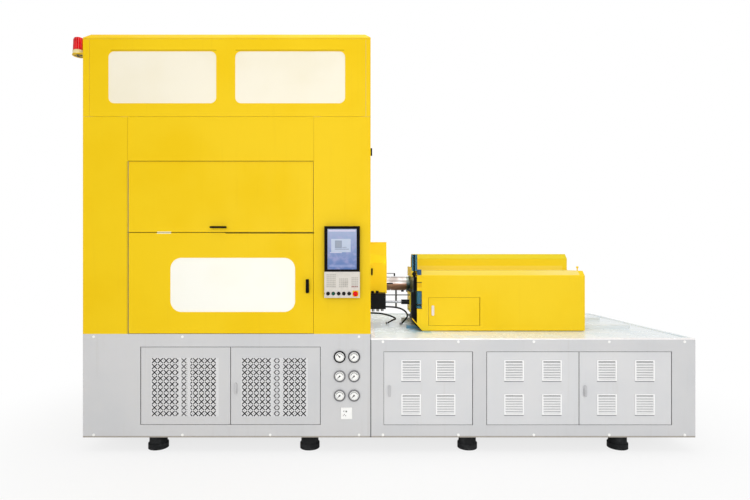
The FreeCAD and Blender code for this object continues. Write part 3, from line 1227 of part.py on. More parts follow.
def carriage():
    """Front plate with its fittings, floor, drive and pull cylinder of the injection unit."""
    end = "plate_along + plate_thick"
    floor_low = "side_top + rail_tall + near"
    floor_top = f"{floor_low} + floor_thick"
    floor = block((end, "unit_end - floor_short"),
                  ("cover_front + skin + near", "cover_back - skin - near"),
                  (floor_low, floor_top))
    gear = block(("barrel_end - drive_lap", "barrel_end + drive_long"),
                 ("barrel_back - drive_half", "barrel_back + drive_half"),
                 (floor_top, "barrel_up + drive_rise"))
    motor = drum("x", ("barrel_end + drive_long", "barrel_end + drive_long + motor_long"),
                 "barrel_back", "barrel_up", "motor_round")
    socket = drum("x", ("barrel_end - drive_lap - 1", "barrel_end + near"), "barrel_back",
                  "barrel_up", "barrel_round + near")
    cylinder_end = f"{end} + pull_cylinder_past"
    axis = ("pull_rod_back", "pull_rod_up")
    cylinder = cut(drum("x", ("pull_cylinder_from", cylinder_end), *axis, "pull_cylinder"),
                   drum("x", ("pull_cylinder_from - 1", f"{cylinder_end} - pull_cylinder_end"),
                        *axis, "pull_rod + run"))
    node("carriage", front_plate(), floor, cut(fuse(gear, motor), socket), *plate_fittings(),
         *stop_guide(), cylinder, *hatch())


def cover_shell(front, top, section):
    """A folded cover of one section with an end cap at its far end."""
    end = "unit_end - cover_left"
    tall = f"{top} - cover_low"
    outer = profiled(section("0", tall), "cover_left", front, "cover_low", end)
    inner = profiled(section("skin", tall), "cover_left - 1", front, "cover_low",
                     f"{end} + 1 - skin")
    return cut(outer, inner)


def front_section(inset, tall):
    """The low cover's outline, moved in by a wall, bevelled along its front."""
    low = "0" if inset == "0" else "-1"
    top = f"{tall} - {inset}"
    bevel = f"(cover_bevel - 0.586 * {inset})"
    back = f"cover_split - cover_front - {inset}"
    return [(inset, low), (inset, f"{top} - {bevel}"), (f"{inset} + {bevel}", top),
            (back, top), (back, low)]


def rear_section(inset, tall):
    """The tall cover's outline, moved in by a wall: a ridge in front and a shoulder behind."""
    low = "0" if inset == "0" else "-1"
    top = f"{tall} - {inset}"
    bevel = f"(cover_bevel - 0.586 * {inset})"
    ridge = f"ridge_deep - {inset}"
    shoulder = f"front_cover_top - cover_low - {inset}"
    back = f"cover_back - cover_split - {inset}"
    return [(inset, low), (inset, f"{top} - {bevel}"), (f"{inset} + {bevel}", top),
            (f"{ridge} - {bevel}", top), (ridge, f"{top} - {bevel}"), (ridge, shoulder),
            (f"{back} - {bevel}", shoulder), (back, f"{shoulder} - {bevel}"), (back, low)]


def injection_covers():
    """The low front cover with its hatch opening, and the tall rear cover."""
    start, split, under = "cover_left", "cover_split", "cover_low - 1"
    inside = (f"{start} - 1", "unit_end - skin")
    wall = ("cover_front - 1", "cover_front + skin + 1")
    roof = (under, "front_cover_top - skin")
    front = cover_shell("cover_front", "front_cover_top", front_section)
    open_back = block(inside, (f"{split} - skin - 1", f"{split} + 1"), roof)
    corner = upright([("-1", "-1"), ("cut_wide", "-1"), ("-1", "cut_tall")], start, wall,
                     "cover_low")
    toe = upright([("0", "cut_tall"), ("0", "cut_tall + toe_wide"),
                   ("-toe_out", "toe_low + toe_wide"), ("-toe_out", "toe_low")],
                  start, ("cover_front", "cover_front + skin"), "cover_low")
    notch = block((f"{start} - 1", f"{start} + notch_wide"), wall, ("notch_low", "notch_high"))
    hatch_up = ("hatch_low", "hatch_low + hatch_tall")
    hatch_end = "hatch_left + hatch_wide"
    opening = block(("hatch_left", hatch_end), wall, hatch_up)
    stile = block((hatch_end, f"{hatch_end} + hatch_stile"),
                  ("cover_front + skin / 2", "cover_front + hatch_stile_deep"), hatch_up)
    pin = ("unit_end - ball_in", "cover_front + ball_back")
    pins = [drum("z", *pin, ("front_cover_top - 1", "front_cover_top + ball_up"), "ball_stem"),
            ball(*pin, "front_cover_top + ball_up", "ball_round")]
    front = fuse(cut(front, open_back, opening, corner, notch), stile, toe, *pins)
    rear = cover_shell(split, "rear_cover_top", rear_section)
    mouth = block(inside, (f"{split} - 1", f"{split} + skin + 1"), roof)
    short = block((f"{start} - 1", f"{start} + shoulder_in"),
                  (f"{split} + ridge_deep", "cover_back + 1"), (under, "front_cover_top + 1"))
    tracks = [block(("unit_end - skin - 1", "unit_end + 1"),
                    (f"{spot} - track_play", f"{spot} + rail_wide + track_play"),
                    (under, "side_top + rail_tall + track_play")) for spot in RAILS]
    node("injection_covers", cut(front, tracks[0]), cut(rear, mouth, short, tracks[1]))


def hatch():
    """The small door in the front cover with its lever."""
    along = ("hatch_left + door_gap / 2", "hatch_left + hatch_wide - door_gap")
    up = ("hatch_low + door_gap / 2", "hatch_low + hatch_tall - door_gap / 2")
    heights = (f"{up[0]} + hatch_hinge_end", f"{up[1]} - hatch_hinge_end")
    spot = ("hatch_left + hatch_latch_in", "cover_front", "hatch_low + hatch_latch_up")
    node("hatch", cut(leaf(along, up, "cover_front", "hatch_deep", -1, heights),
                      latch_hole(*spot)))
    node("latch_hatch", latch(*spot))
    return hinge_arms(along, "hatch_left + hatch_wide", "cover_front", "hatch_deep", -1, heights)


def purge_guard():
    """A folded guard over the nozzle, with a shoulder where it narrows, its tab and its stay."""
    def section(inset):
        low = "0" if inset == "0" else "-1"
        shoulder = "guard_shoulder - guard_low"
        neck = "guard_neck - guard_low"
        tall = f"guard_top - guard_low - {inset}"
        side = [(f"guard_half - {inset}", low), (f"guard_half - {inset}", shoulder),
                (f"guard_half_top - {inset}", neck), (f"guard_half_top - {inset}", tall)]
        return [(f"guard_half - ({a})", b) for a, b in side] + \
               [(f"guard_half + ({a})", b) for a, b in reversed(side)]

    start = "main_long + near"
    end = f"{start} + guard_long"
    outer = profiled(section("0"), start, "barrel_back - guard_half", "guard_low", "guard_long")
    inner = profiled(section("skin"), f"{start} - 1", "barrel_back - guard_half", "guard_low",
                     "guard_long + 1 - skin")
    through = (f"{end} - skin - 1", f"{end} + 1")
    hole = drum("x", through, "barrel_back", "barrel_up", "guard_hole")
    slot = block(through, ("barrel_back - guard_hole", "barrel_back + guard_hole"),
                 ("guard_low - 1", "barrel_up"))
    node("purge_guard", cut(outer, inner, hole, slot))
    top = "stay_up + stay_tall"
    arm_end = f"{end} + stay_long"
    stay = fuse(block((end, f"{arm_end} + stay_end"),
                      ("barrel_back - stay_half", "barrel_back + stay_half"), ("stay_up", top)),
                block((arm_end, f"{arm_end} + stay_end"),
                      ("barrel_back - stay_end_half", "barrel_back + stay_end_half"),
                      ("stay_up - stay_drop", top)))
    side = "barrel_back - guard_half"
    high = "guard_shoulder - tab_down + tab_tall"
    tab = rounded((f"{start} + tab_in", f"{start} + tab_in + tab_wide"),
                  (f"{side} - tab_out", side), ("guard_shoulder - tab_down", high), "tab_round")
    node("guard_grip", stay, tab)


def valve_block():
    """The valve block beside the guard, and what is fixed with it: rods, rails and glands."""
    start = "main_long + near"
    end = f"{start} + valve_long"
    top = "valve_low + valve_tall"
    body = block((start, end), ("valve_front", "valve_front + valve_deep"), ("valve_low", top))
    coils = [drum("z", f"{start} + coil_in + {i} * coil_step", "valve_front + coil_back",
                  (top, f"{top} + coil_tall"), "coil_round") for i in range(2)]
    node("valve_block", fuse(body, *coils))
    fittings = [drum("z", f"{start} + fitting_in + {i} * fitting_step",
                     f"valve_front + fitting_back + {i} * fitting_shift",
                     ("valve_low - fitting_tall", "valve_low"), "fitting_round")
                for i in range(3)]
    rods = [drum("x", (end, "pull_rod_end"), "pull_rod_back", up, radius)
            for up, radius in (("pull_rod_up", "pull_rod"), ("scale_rod_up", "scale_rod"))]
    rails = [block(("rail_left", "unit_end + carriage_travel + rail_spare"),
                   (spot, f"{spot} + rail_wide"), ("side_top", "side_top + rail_tall"))
             for spot in RAILS]
    glands = [drum("z", along, back, ("side_top", "side_top + gland_tall"), "gland_round")
              for along, back, _ in (HOSE_FRONT[-1], HOSE_REAR[-1])]
    return [*rods, *rails, *fittings, *glands]


def hose(label, points, radius):
    """A hose of straight runs joined by arcs as large as the runs allow; prints the radii."""
    spots = [FreeCAD.Vector(number(f"{LEFT} + {a}"), number(f"{FRONT} + {b}"), number(c))
             for a, b, c in points]
    edges, start, radii = [], spots[0], []
    for before, corner, after in zip(spots, spots[1:], spots[2:]):
        into, out = corner - before, after - corner
        reach = 0.45 * min(into.Length, out.Length)
        half = into.getAngle(out) / 2
        radii.append(round(reach / math.tan(half)))
        first = corner - into.normalize() * reach
        last = corner + out.normalize() * reach
        way = (last + first) / 2 - corner
        bulge = reach / math.sin(half) * (1 / math.cos(half) - 1) * math.cos(half)
        middle = corner + way.normalize() * bulge
        edges += [Part.LineSegment(start, first).toShape(), Part.Arc(first, middle, last).toShape()]
        start = last
    edges.append(Part.LineSegment(start, spots[-1]).toShape())
    path = Part.Wire(edges)
    ring = Part.Wire(Part.Circle(spots[0], spots[1] - spots[0], number(radius)).toShape())
    tube = doc.addObject("Part::Feature", "Hose")
    tube.Shape = path.makePipeShell([ring], True, True)
    node(label, tube)
    share = tube.Shape.Volume / (math.pi * number(radius) ** 2 * path.Length)
    print(label, "length", round(path.Length), "radii", radii, "volume share", round(share, 4))


def hoses():
    """Two hydraulic hoses that run down to glands in the deck."""
    hose("hose_front", HOSE_FRONT, "hose_round")
    hose("hose_rear", HOSE_REAR, "hose_round")


# ---- the whole machine ----

def build():
    levelling_feet()
    base_frames()
    base_fronts()
    base_cladding()
    deck_plate()
    arms = perforated_door("perforated_door_left", "perf_left", 1, False)
    arms += perforated_door("perforated_door_right", "perf_left + perf_wide", -1, True)
    arms += louvre_door("louvre_door_1", "single_left", "single_wide", -1, True)
    arms += louvre_door("louvre_door_2", "double_left", "double_wide", 1, False)
    arms += louvre_door("louvre_door_3", "double_left + double_wide", "double_wide", -1, True)
    gauges()
    white_fittings()
    cabinet_frame()
    cabinet_walls()
    cabinet_roof()
    front_panels()
    lift_door()
    arms += swing_door()
    arms += side_gate()
    node("hinge_arms", *arms)
    touch_panel()
    beacon()
    clamp_side()
    index_table()
    core_platen()
    stretch_unit()
    blow_mould("blow_mould_left", -1)
    blow_mould("blow_mould_right", 1)
    station_tooling()
    barrel()
    carriage()
    injection_covers()
    purge_guard()
    node("guide_rails", *guide_channels(), *valve_block())
    hoses()


def failures():
    """Every object that did not come out, by name."""
    bad = [f.Name for f in doc.Objects if {"Invalid", "Error"} & set(f.State)]
    for piece in NODES:
        if piece.Shape.isNull() or not piece.Shape.isValid() or not piece.Shape.Solids:
            bad.append(piece.Label)
    return bad


build()
doc.recompute()
bad = failures()
if bad:
    raise SystemExit("not built: " + ", ".join(bad))
os.makedirs("parts", exist_ok=True)
for piece in NODES:
    piece.Shape.exportStep(f"parts/{piece.Label}.step")
print(len(NODES), "sub-parts")
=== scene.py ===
# %% [markdown]
# # A stretch blow moulding machine in yellow and grey enamel
#
# This lesson dresses a finished CAD model for a picture. The real machine is folded sheet steel,
# sprayed yellow above and light grey below, with a touch panel, six gauges and a heated barrel.
# The shapes come from the CAD file, so Blender mostly adds surfaces, light and small trim.
# Everything is in metres: X along the machine, Y from its front to its back, Z up.

import json
import math

import bmesh
import bpy
from mathutils import Matrix, Vector


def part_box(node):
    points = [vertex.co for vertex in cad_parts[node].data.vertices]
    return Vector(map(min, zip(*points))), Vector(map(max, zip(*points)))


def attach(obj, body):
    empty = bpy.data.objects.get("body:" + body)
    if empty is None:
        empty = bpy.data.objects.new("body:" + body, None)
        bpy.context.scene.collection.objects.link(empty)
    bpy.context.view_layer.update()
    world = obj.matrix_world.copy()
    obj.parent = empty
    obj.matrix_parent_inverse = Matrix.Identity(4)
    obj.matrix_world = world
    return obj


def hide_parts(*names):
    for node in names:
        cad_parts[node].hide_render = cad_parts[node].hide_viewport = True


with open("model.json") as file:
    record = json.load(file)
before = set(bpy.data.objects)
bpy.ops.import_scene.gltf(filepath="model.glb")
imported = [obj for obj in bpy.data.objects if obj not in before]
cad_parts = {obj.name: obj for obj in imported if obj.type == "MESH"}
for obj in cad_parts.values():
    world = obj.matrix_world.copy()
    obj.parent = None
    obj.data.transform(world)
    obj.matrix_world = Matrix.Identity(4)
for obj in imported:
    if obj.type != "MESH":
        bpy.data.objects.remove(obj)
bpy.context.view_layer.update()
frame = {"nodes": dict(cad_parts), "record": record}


def rounded(corners):
    """Corners with their numbers cut to whole millimetres, for printing."""
    return [[round(number, 3) for number in corner] for corner in corners]


# %% [markdown]
# ## A workshop way to say where things are
#
# A fitter measures from the cabinet's left front corner, in millimetres: so far along, so far
# back, so far up. One small function turns that into Blender's metres, so that every number
# below can be read with a tape measure in mind.

# %% Measure from the cabinet's corner
CORNER = Vector((-2.4915, -0.910, 0.0))


def at(along, back, up):
    """The point so many millimetres along, back and up from the cabinet's front corner."""
    return CORNER + Vector((along, back, up)) / 1000


print("far corner of the deck:", rounded([at(5108, 1900, 941)])[0])

# %% [markdown]
# Some pieces come in rows, and both their paint and their trim need the same places. So the
# rows are written down once: the gauges, the vents in the louvre doors, the push buttons and
# the feet.

# %% Write down the rows
GAUGES_ALONG = (2142, 2262)
GAUGES_UP = (471, 632, 793)
VENTS_LEFT = (2656, 2943, 3513, 3829, 4287, 4603)
VENTS_LOW = (309, 592)
VENT_WIDE = 162
FIRST_BUTTON = at(2048, 0, 1323)
BUTTON_STEP = 0.0435
FEET_ALONG = (587, 1882, 3228, 4514)
FEET_BACK = (110, 1790)
print("gauges:", len(GAUGES_ALONG) * len(GAUGES_UP), "vents:", len(VENTS_LEFT) * len(VENTS_LOW))

# %% [markdown]
# ## The camera
#
# The picture was taken square on, from about four metres in front of the yellow cabinet and at
# eye height, with a wide lens. The camera looks straight back along Y, so upright edges stay
# upright. The eye isn't quite in the middle of the picture, and the lens shift says by how much.

# %% Set up the camera
EYE = at(2328, -4100, 1608)
LENS = 23.6
SENSOR = 36
SHIFT = (0.0173, 0.012)

camera_data = bpy.data.cameras.new("camera")
camera_data.lens = LENS
camera_data.sensor_width = SENSOR
camera_data.shift_x, camera_data.shift_y = SHIFT
camera = bpy.data.objects.new("camera", camera_data)
camera.location = EYE
camera.rotation_euler = (math.pi / 2, 0, 0)
bpy.context.scene.collection.objects.link(camera)
bpy.context.scene.camera = camera
bpy.context.scene.view_settings.view_transform = "Standard"
print("camera at", rounded([EYE])[0])

# %% [markdown]
# ## Shader maths in plain Python
#
# Blender's materials are graphs of nodes. Wiring them by hand hides the idea, so one small class
# wraps a socket and lets Python's own operators add the Math nodes. Colours go through Mix nodes
# instead, because a Math node would turn them grey.

# %% Wrap a socket
class Wire:
    """One output of a shader node, which takes part in Python arithmetic."""

    def __init__(self, graph, socket):
        self.graph, self.socket = graph, socket

    def _maths(self, operation, first, second):
        return self.graph.node("ShaderNodeMath", {"operation": operation}, {0: first, 1: second})

    def __add__(self, other):
        return self._maths("ADD", self, other)

    def __sub__(self, other):
        return self._maths("SUBTRACT", self, other)

    def __rsub__(self, other):
        return self._maths("SUBTRACT", other, self)

    def __mul__(self, other):
        return self._maths("MULTIPLY", self, other)

    def __truediv__(self, other):
        return self._maths("DIVIDE", self, other)

    def __gt__(self, other):
        return self._maths("GREATER_THAN", self, other)

    def __lt__(self, other):
        return self._maths("LESS_THAN", self, other)

    def __mod__(self, other):
        return self._maths("FLOORED_MODULO", self, other)

    def __pow__(self, other):
        return self._maths("POWER", self, other)

    __radd__, __rmul__ = __add__, __mul__

    def __abs__(self):
        return self._maths("ABSOLUTE", self, 0.0)

    def turn(self, across):
        """The angle, in radians, of a direction that rises by self and goes across by across."""
        return self._maths("ARCTAN2", self, across)


print("reflected forms:", [name for name in vars(Wire) if name.startswith("__r")])

# %% [markdown]
# Two sums come back often, for anything round and for anything in a row. Written with operators
# they work on plain numbers as well as on wires, so they can be tried out here.

# %% Measure round things and rows
def reach(aside, above):
    """The distance from a centre line, from the two distances across it."""
    return (aside * aside + above * above) ** 0.5


def nearest(place, first, step):
    """How far a place lies past the nearest of a row of points, which start at first."""
    return (place - (first - step / 2)) % step - step / 2


print("3 by 4 reaches", reach(3, 4), "and 11 in steps of 5 lies past by", nearest(11, 0, 5))

# %% [markdown]
# ## One method for every other node
#
# A graph's `node` method takes a node's type, its settings and what goes into its sockets. The
# methods below it are short names for the few nodes that nearly every paint and metal needs.

# %% Build a graph
class Graph:
    """A tree of shader nodes."""

    def __init__(self, tree):
        self.tree = tree

    def node(self, kind, settings, sockets, output=0):
        made = self.tree.nodes.new(kind)
        for name, value in settings.items():
            setattr(made, name, value)
        for name, value in sockets.items():
            if isinstance(value, Wire):
                self.tree.links.new(value.socket, made.inputs[name])
            else:
                made.inputs[name].default_value = value
        return Wire(self, made.outputs[output])

    def stretched(self, spot, along, back, up):
        return self.node("ShaderNodeVectorMath", {"operation": "MULTIPLY"},
                         {0: spot, 1: (along, back, up)})

    def noise(self, spot, scale, detail=2.0, roughness=0.5):
        return self.node("ShaderNodeTexNoise", {},
                         {"Vector": spot, "Scale": scale, "Detail": detail, "Roughness": roughness})

    def ease(self, value, start, end, low=0.0, high=1.0):
        """A soft step of value: low up to start, high from end."""
        return self.node("ShaderNodeMapRange", {"interpolation_type": "SMOOTHSTEP"},
                         {"Value": value, "From Min": start, "From Max": end,
                          "To Min": low, "To Max": high})

    def blend(self, share, colour, other):
        """A colour that goes from colour to other as share goes from 0 to 1."""
        return self.node("ShaderNodeMix", {"data_type": "RGBA"}, {0: share, 6: colour, 7: other}, 2)


print("graph patterns:", [name for name in vars(Graph) if not name.startswith("_")])

# %% [markdown]
# A finish is a material with a Principled surface. Constants, such as the metal share of a paint,
# are set on the surface's own sockets, because only what varies over a surface needs a wire.
# Much of this machine's character is in small patches of another colour, so a finish can touch
# up boxes of its coat, one over the other, as a painter would with masking tape.

# %% Describe a finish
class Finish(Graph):
    """A material, its surface and the coat of colour on it."""

    def __init__(self, name, **constants):
        self.material = bpy.data.materials.new(name)
        self.material.use_nodes = True
        super().__init__(self.material.node_tree)
        self.surface = self.tree.nodes["Principled BSDF"]
        for socket, value in constants.items():
            self.surface.inputs[socket.replace("_", " ")].default_value = value

    def feed(self, socket, wire):
        self.tree.links.new(wire.socket, self.surface.inputs[socket])

    def coat(self):
        """The colour so far, ready to be painted over."""
        return Wire(self, self.surface.inputs["Base Color"].links[0].from_socket)

    def place(self):
        """The spot on the resting object, in metres, and its X, Y and Z apart."""
        spot = self.node("ShaderNodeTexCoord", {}, {}, "Object")
        split = self.node("ShaderNodeSeparateXYZ", {}, {0: spot})
        parts = [Wire(self, socket) for socket in split.socket.node.outputs]
        return [spot] + parts

    def within(self, parts, low, high):
        """1 inside a box that is given like `at`, in millimetres, and 0 outside it."""
        mask = 1.0
        for part, start, end in zip(parts, at(*low), at(*high)):
            mask = (part > start) * (part < end) * mask
        return mask

    def touch_up(self, *patches):
        """Paints patches over the coat: each is a share, a colour and a box's two corners."""
        parts = self.place()[1:]
        coat = self.coat()
        for share, colour, low, high in patches:
            coat = self.blend(self.within(parts, low, high) * share, coat, colour)
        self.feed("Base Color", coat)

    def bump(self, height, strength, distance):
        relief = self.node("ShaderNodeBump", {},
                           {"Height": height, "Strength": strength, "Distance": distance})
        self.feed("Normal", relief)


def shade(red, green, blue):
    """A colour as a paint card gives it, from 0 to 255, in the light's own numbers."""
    light = [((part / 255 + 0.055) / 1.055) ** 2.4 if part > 10 else part / 3294.6
             for part in (red, green, blue)]
    return (*light, 1.0)


print("white card:", shade(255, 255, 255))

# %% [markdown]
# ## Enamel on folded sheet
#
# Both paints are sprayed enamel. It has a faint orange peel, slow clouds of slightly different
# colour over a panel, and a little dust that runs down from seams. The same recipe with other
# colours makes the yellow and the grey, so they look like one paint shop's work. A paint is
# three colours: the coat, its clouds and its dust.

# %% Mix the enamels
YELLOW = (shade(245, 206, 22), shade(242, 201, 12), shade(220, 174, 26))
COVER_YELLOW = (shade(246, 209, 34), shade(243, 204, 24), YELLOW[2])
GREY = (shade(212, 212, 213), shade(207, 208, 210), shade(194, 192, 188))
LOUVRE_GREY = (shade(220, 220, 221), shade(215, 216, 218), shade(202, 200, 196))
# OLIVE and the grey primer colour the folded returns; their darkness is also painted gap shade.
OLIVE = shade(96, 84, 22)
GREY_PRIMER_AND_SHADE = shade(70, 70, 72)
PANEL_INSIDE, LIFT_INSIDE, HATCH_INSIDE = 3.5, 8.5, 443.5


def enamel(name, paint, gloss, dusty, inside=None, primer_and_shade=None):
    """Sprayed paint: clouds of a second colour, dust in streaks and a fine orange peel.

    Faces further back than inside, in millimetres, show the primer of the folded edges, dark
    enough to be painted shade in the gaps round the panels."""
    colour, cloud, dust = paint
    finish = Finish(name, Roughness=gloss, Specular_IOR_Level=0.12)
    spot, _, back, _ = finish.place()
    clouds = finish.ease(finish.noise(spot, 1.7, 4.0), 0.35, 0.7)
    streaks = finish.noise(finish.stretched(spot, 26, 26, 1.3), 1.0, 3.0)
    specks = finish.noise(spot, 90, 3.0)
    dirt = finish.ease(streaks, 0.56, 0.86) * dusty + finish.ease(specks, 0.7, 0.82) * (dusty * 0.6)
    base = finish.blend(dirt, finish.blend(clouds, colour, cloud), dust)
    if inside is not None:
        depth = at(0, inside, 0).y
        base = finish.blend(finish.ease(back, depth, depth + 0.002), base, primer_and_shade)
    finish.feed("Base Color", base)
    uneven = clouds * 0.4 + streaks * 0.6
    finish.feed("Roughness", finish.ease(uneven, 0.3, 0.7, gloss - 0.05, gloss + 0.1))
    finish.bump(finish.noise(spot, 420, 2.0) * 0.5 + finish.noise(spot, 7) * 0.6, 0.09, 0.0006)
    return finish


yellow = enamel("yellow_enamel", YELLOW, 0.42, 0.16)
yellow_front = enamel("yellow_front", YELLOW, 0.42, 0.16, PANEL_INSIDE, OLIVE)
yellow_lift = enamel("yellow_lift", YELLOW, 0.42, 0.16, LIFT_INSIDE, OLIVE)
yellow_hatch = enamel("yellow_hatch", COVER_YELLOW, 0.4, 0.14, HATCH_INSIDE, OLIVE)
grey = enamel("grey_enamel", GREY, 0.45, 0.3)
print("enamels:", [finish.material.name for finish in (yellow, yellow_front, yellow_lift, grey)])

# %% [markdown]
# Thin shadows lie along the cabinet's joints: under the lift door, round the doors, down the
# header panel and under the eaves. They are narrower than the light can draw in a picture of the
# whole machine, so they are painted. A short cream strip crosses the joint under the lift door.

# %% Line the yellow panels
def lift_joint(finish, low, high):
    """The dark joint under the lift door, and the cream strip from low to high across it."""
    shadow = shade(50, 40, 8)
    finish.touch_up((0.75, shadow, (370, -5, 1829), (1930, 8, 1833)),
                    (0.85, shadow, (1190, -5, 1820), (1930, 8, 1827)),
                    (1, shade(250, 244, 204), (618, -5, low), (735, 8, high)))


def panel_lines(finish):
    """Thin dark lines above and beside the doors, in the header's joints and under the eaves."""
    joint, eaves = shade(206, 164, 4), shade(150, 122, 6)
    finish.touch_up((0.6, shade(70, 58, 4), (375, -5, 2420), (1924, 1, 2428)),
                    (0.6, joint, (369, -5, 2428), (376, 1, 2792)),
                    (0.36, joint, (1922, -5, 2428), (1929, 1, 2792)),
                    (0.55, eaves, (232, -5, 3345), (1113, 3, 3353)),
                    (0.55, eaves, (1274, -5, 3345), (2180, 3, 3353)),
                    (0.4, shade(60, 84, 40), (366, -5, 983), (373, 1, 2424)))


lift_joint(yellow_lift, 1826, 1837)
lift_joint(yellow_front, 1819, 1829)
panel_lines(yellow_front)
print("nodes on the front panels:", len(yellow_front.tree.nodes))

# %% [markdown]
# The injection cover is a warmer yellow. Its slope and shoulder catch the light, so they are
# painted paler, as painted highlights, more so towards the right. The rear half is painted a
# plainer tone to offset the yellow light bounced onto it, and the ridge on top of it a little
# greener and darker, as painted shade. Near the barrel the lower left corner carries painted
# shade, with a dark line above the shade.

# %% Paint the injection cover
def cover_paint():
    finish = enamel("yellow_cover", COVER_YELLOW, 0.4, 0.14)
    along = finish.place()[1]
    to_right = finish.ease(along, at(3700, 0, 0).x, at(4300, 0, 0).x)
    slope_highlight = finish.blend(to_right, shade(238, 213, 84), shade(241, 219, 122))
    rear, ridge_shade, shoulder_highlight = shade(240, 210, 30), shade(226, 203, 30), shade(242, 216, 84)
    # Painted highlights on the slope and shoulder; painted shade on the ridge and by the barrel.
    finish.touch_up((1, rear, (2800, 838, 900), (4400, 1480, 1700)),
                    (1, ridge_shade, (2800, 838, 1606), (4400, 1480, 1700)),
                    (0.8, shoulder_highlight, (2882, 837, 1490), (4340, 845, 1540)),
                    (1, slope_highlight, (2882, 440, 1460), (4340, 837, 1510)),
                    (0.5, shade(216, 160, 10), (2830, 438, 1345), (2880, 560, 1386)),
                    (0.8, shade(60, 70, 40), (2830, 438, 1386), (2880, 560, 1396)))
    return finish


yellow_cover = cover_paint()
print("nodes on the cover:", len(yellow_cover.tree.nodes))

# %% [markdown]
# ## The grey doors and sheets
#
# The punched doors are a little brighter between their rings. The louvres are pressed out of
# their doors and catch the light, so on the machine they look white against the grey; they are
# painted white, as a painted highlight. Their mask is the depth itself: whatever stands in front
# of the door's face is a louvre's rim. Under each vent a thin shadow is painted.

# %% Paint the grey doors
def perforated_paint():
    finish = enamel("perforated_door", GREY, 0.45, 0.3, PANEL_INSIDE, shade(104, 104, 106))
    bright = shade(238, 238, 239)
    finish.touch_up((0.45, bright, (569, -5, 296), (1132, 3.4, 784)),
                    (0.45, bright, (1322, -5, 296), (1876, 3.4, 784)))
    return finish


def louvre_paint():
    finish = enamel("louvre_door", LOUVRE_GREY, 0.45, 0.3, PANEL_INSIDE, GREY_PRIMER_AND_SHADE)
    # A thin painted shadow under each vent.
    shadow = shade(90, 92, 96)
    finish.touch_up(*[(0.8, shadow, (left, -0.9, low - 9), (left + VENT_WIDE, 1, low))
                      for low in VENTS_LOW for left in VENTS_LEFT])
    # Painted highlight: whatever stands proud of the door is painted white.
    back = finish.place()[2]
    proud_highlight = finish.ease(back, at(0, -1.0, 0).y, at(0, -4.5, 0).y)
    finish.feed("Base Color", finish.blend(proud_highlight, finish.coat(), shade(255, 255, 255)))
    return finish


perforated_door = perforated_paint()
louvre_door = louvre_paint()
print("nodes on a louvre door:", len(louvre_door.tree.nodes))

# %% [markdown]
# The base's front sheets have a seam between the two bases, painted dark as the shade in its
# gap, and a brownish lower edge. The inside of the cladding shows only through open doors, where
# it is darker primer and painted shade.

# %% Paint the base
def base_front_paint():
    finish = enamel("base_front", GREY, 0.45, 0.3, PANEL_INSIDE, GREY_PRIMER_AND_SHADE)
    # A brownish lower edge, and the seam between the bases painted dark as the shade in its gap.
    finish.touch_up((0.7, shade(150, 138, 120), (-5, -5, 100), (5200, 3, 132)),
                    (1, shade(104, 104, 106), (2397, -5, 100), (2405, 3, 990)))
    return finish


def cladding_paint():
    finish = enamel("base_cladding", GREY, 0.45, 0.3)
    # The inside is darker primer and painted shade.
    finish.touch_up((1, shade(92, 93, 96), (1.5, 1.5, 0), (5106.5, 1898.5, 3000)))
    return finish


base_front = base_front_paint()
base_cladding = cladding_paint()
print("base paints:", base_front.material.name, base_cladding.material.name)

# %% [markdown]
# ## The deck
#
# The deck is smooth pale paint, mottled bluish where oil was wiped off and with darker drops. On
# the left it is painted bluer, as painted shade of the cabinet. It has one blue patch beside the
# injection unit's feet, and ends in a whiter rim at the left and at the front.

# %% Paint the deck
def deck_paint():
    finish = Finish("deck_enamel", Roughness=0.3, Specular_IOR_Level=0.35)
    spot, along, back, up = finish.place()
    wiped = finish.ease(finish.noise(spot, 4.5, 5.0, 0.6), 0.5, 0.72)
    drops = finish.ease(finish.noise(spot, 42, 3.0), 0.62, 0.72)
    base = finish.blend(wiped * 0.6, shade(232, 239, 243), shade(208, 224, 235))
    base = finish.blend(drops * 0.3, base, shade(150, 168, 184))
    # Painted shade: bluer on the left, where the cabinet's shade falls.
    shady = finish.ease(along, at(3000, 0, 0).x, at(2800, 0, 0).x)
    base = finish.blend(shady * 0.8, base, shade(230, 244, 255))
    blue_patch = finish.within((along, back, up), (2700, 300, 900), (2960, 1250, 960))
    blue_patch = blue_patch * finish.ease(finish.noise(spot, 9, 4.0, 0.65), 0.44, 0.56)
    blue_patch = blue_patch * finish.ease(along, at(2720, 0, 0).x, at(2840, 0, 0).x)
    base = finish.blend(blue_patch * 0.6, base, shade(104, 184, 224))
    left_rim = finish.ease(along, at(2442, 0, 0).x, at(2440, 0, 0).x)
    front_rim = finish.ease(back, at(0, 42, 0).y, at(0, 40, 0).y)
    rim = 1 - (1 - left_rim) * (1 - front_rim)
    finish.feed("Base Color", finish.blend(rim, base, shade(247, 244, 244)))
    finish.feed("Roughness", finish.ease(wiped, 0, 1, 0.26, 0.42))
    finish.bump(finish.noise(spot, 30, 3.0), 0.06, 0.0008)
    return finish


deck = deck_paint()
print("nodes on the deck:", len(deck.tree.nodes))

# %% [markdown]
# ## Plastics and rubber
#
# Handles, the screen's housing and the gauges' pointers are black moulded plastic with a fine
# grain. The feet are rubber, duller and slightly dusty. Buttons are glossy, because they are
# polished by fingers. Cast iron and zinc levers share the recipe, since both are cast and then
# painted or coated.

# %% Mould the plastics
def moulded(name, colour, worn, gloss, grain=900, relief=0.15, shine=0.12):
    """Moulded or cast parts: a fine grain, and another colour where they are handled."""
    finish = Finish(name, Roughness=gloss, Specular_IOR_Level=shine)
    spot = finish.place()[0]
    wear = finish.ease(finish.noise(spot, 14, 5.0), 0.45, 0.75)
    finish.feed("Base Color", finish.blend(wear, colour, worn))
    finish.feed("Roughness", finish.ease(wear, 0, 1, gloss, min(gloss + 0.18, 1)))
    finish.bump(finish.noise(spot, grain), relief, 0.0003)
    return finish


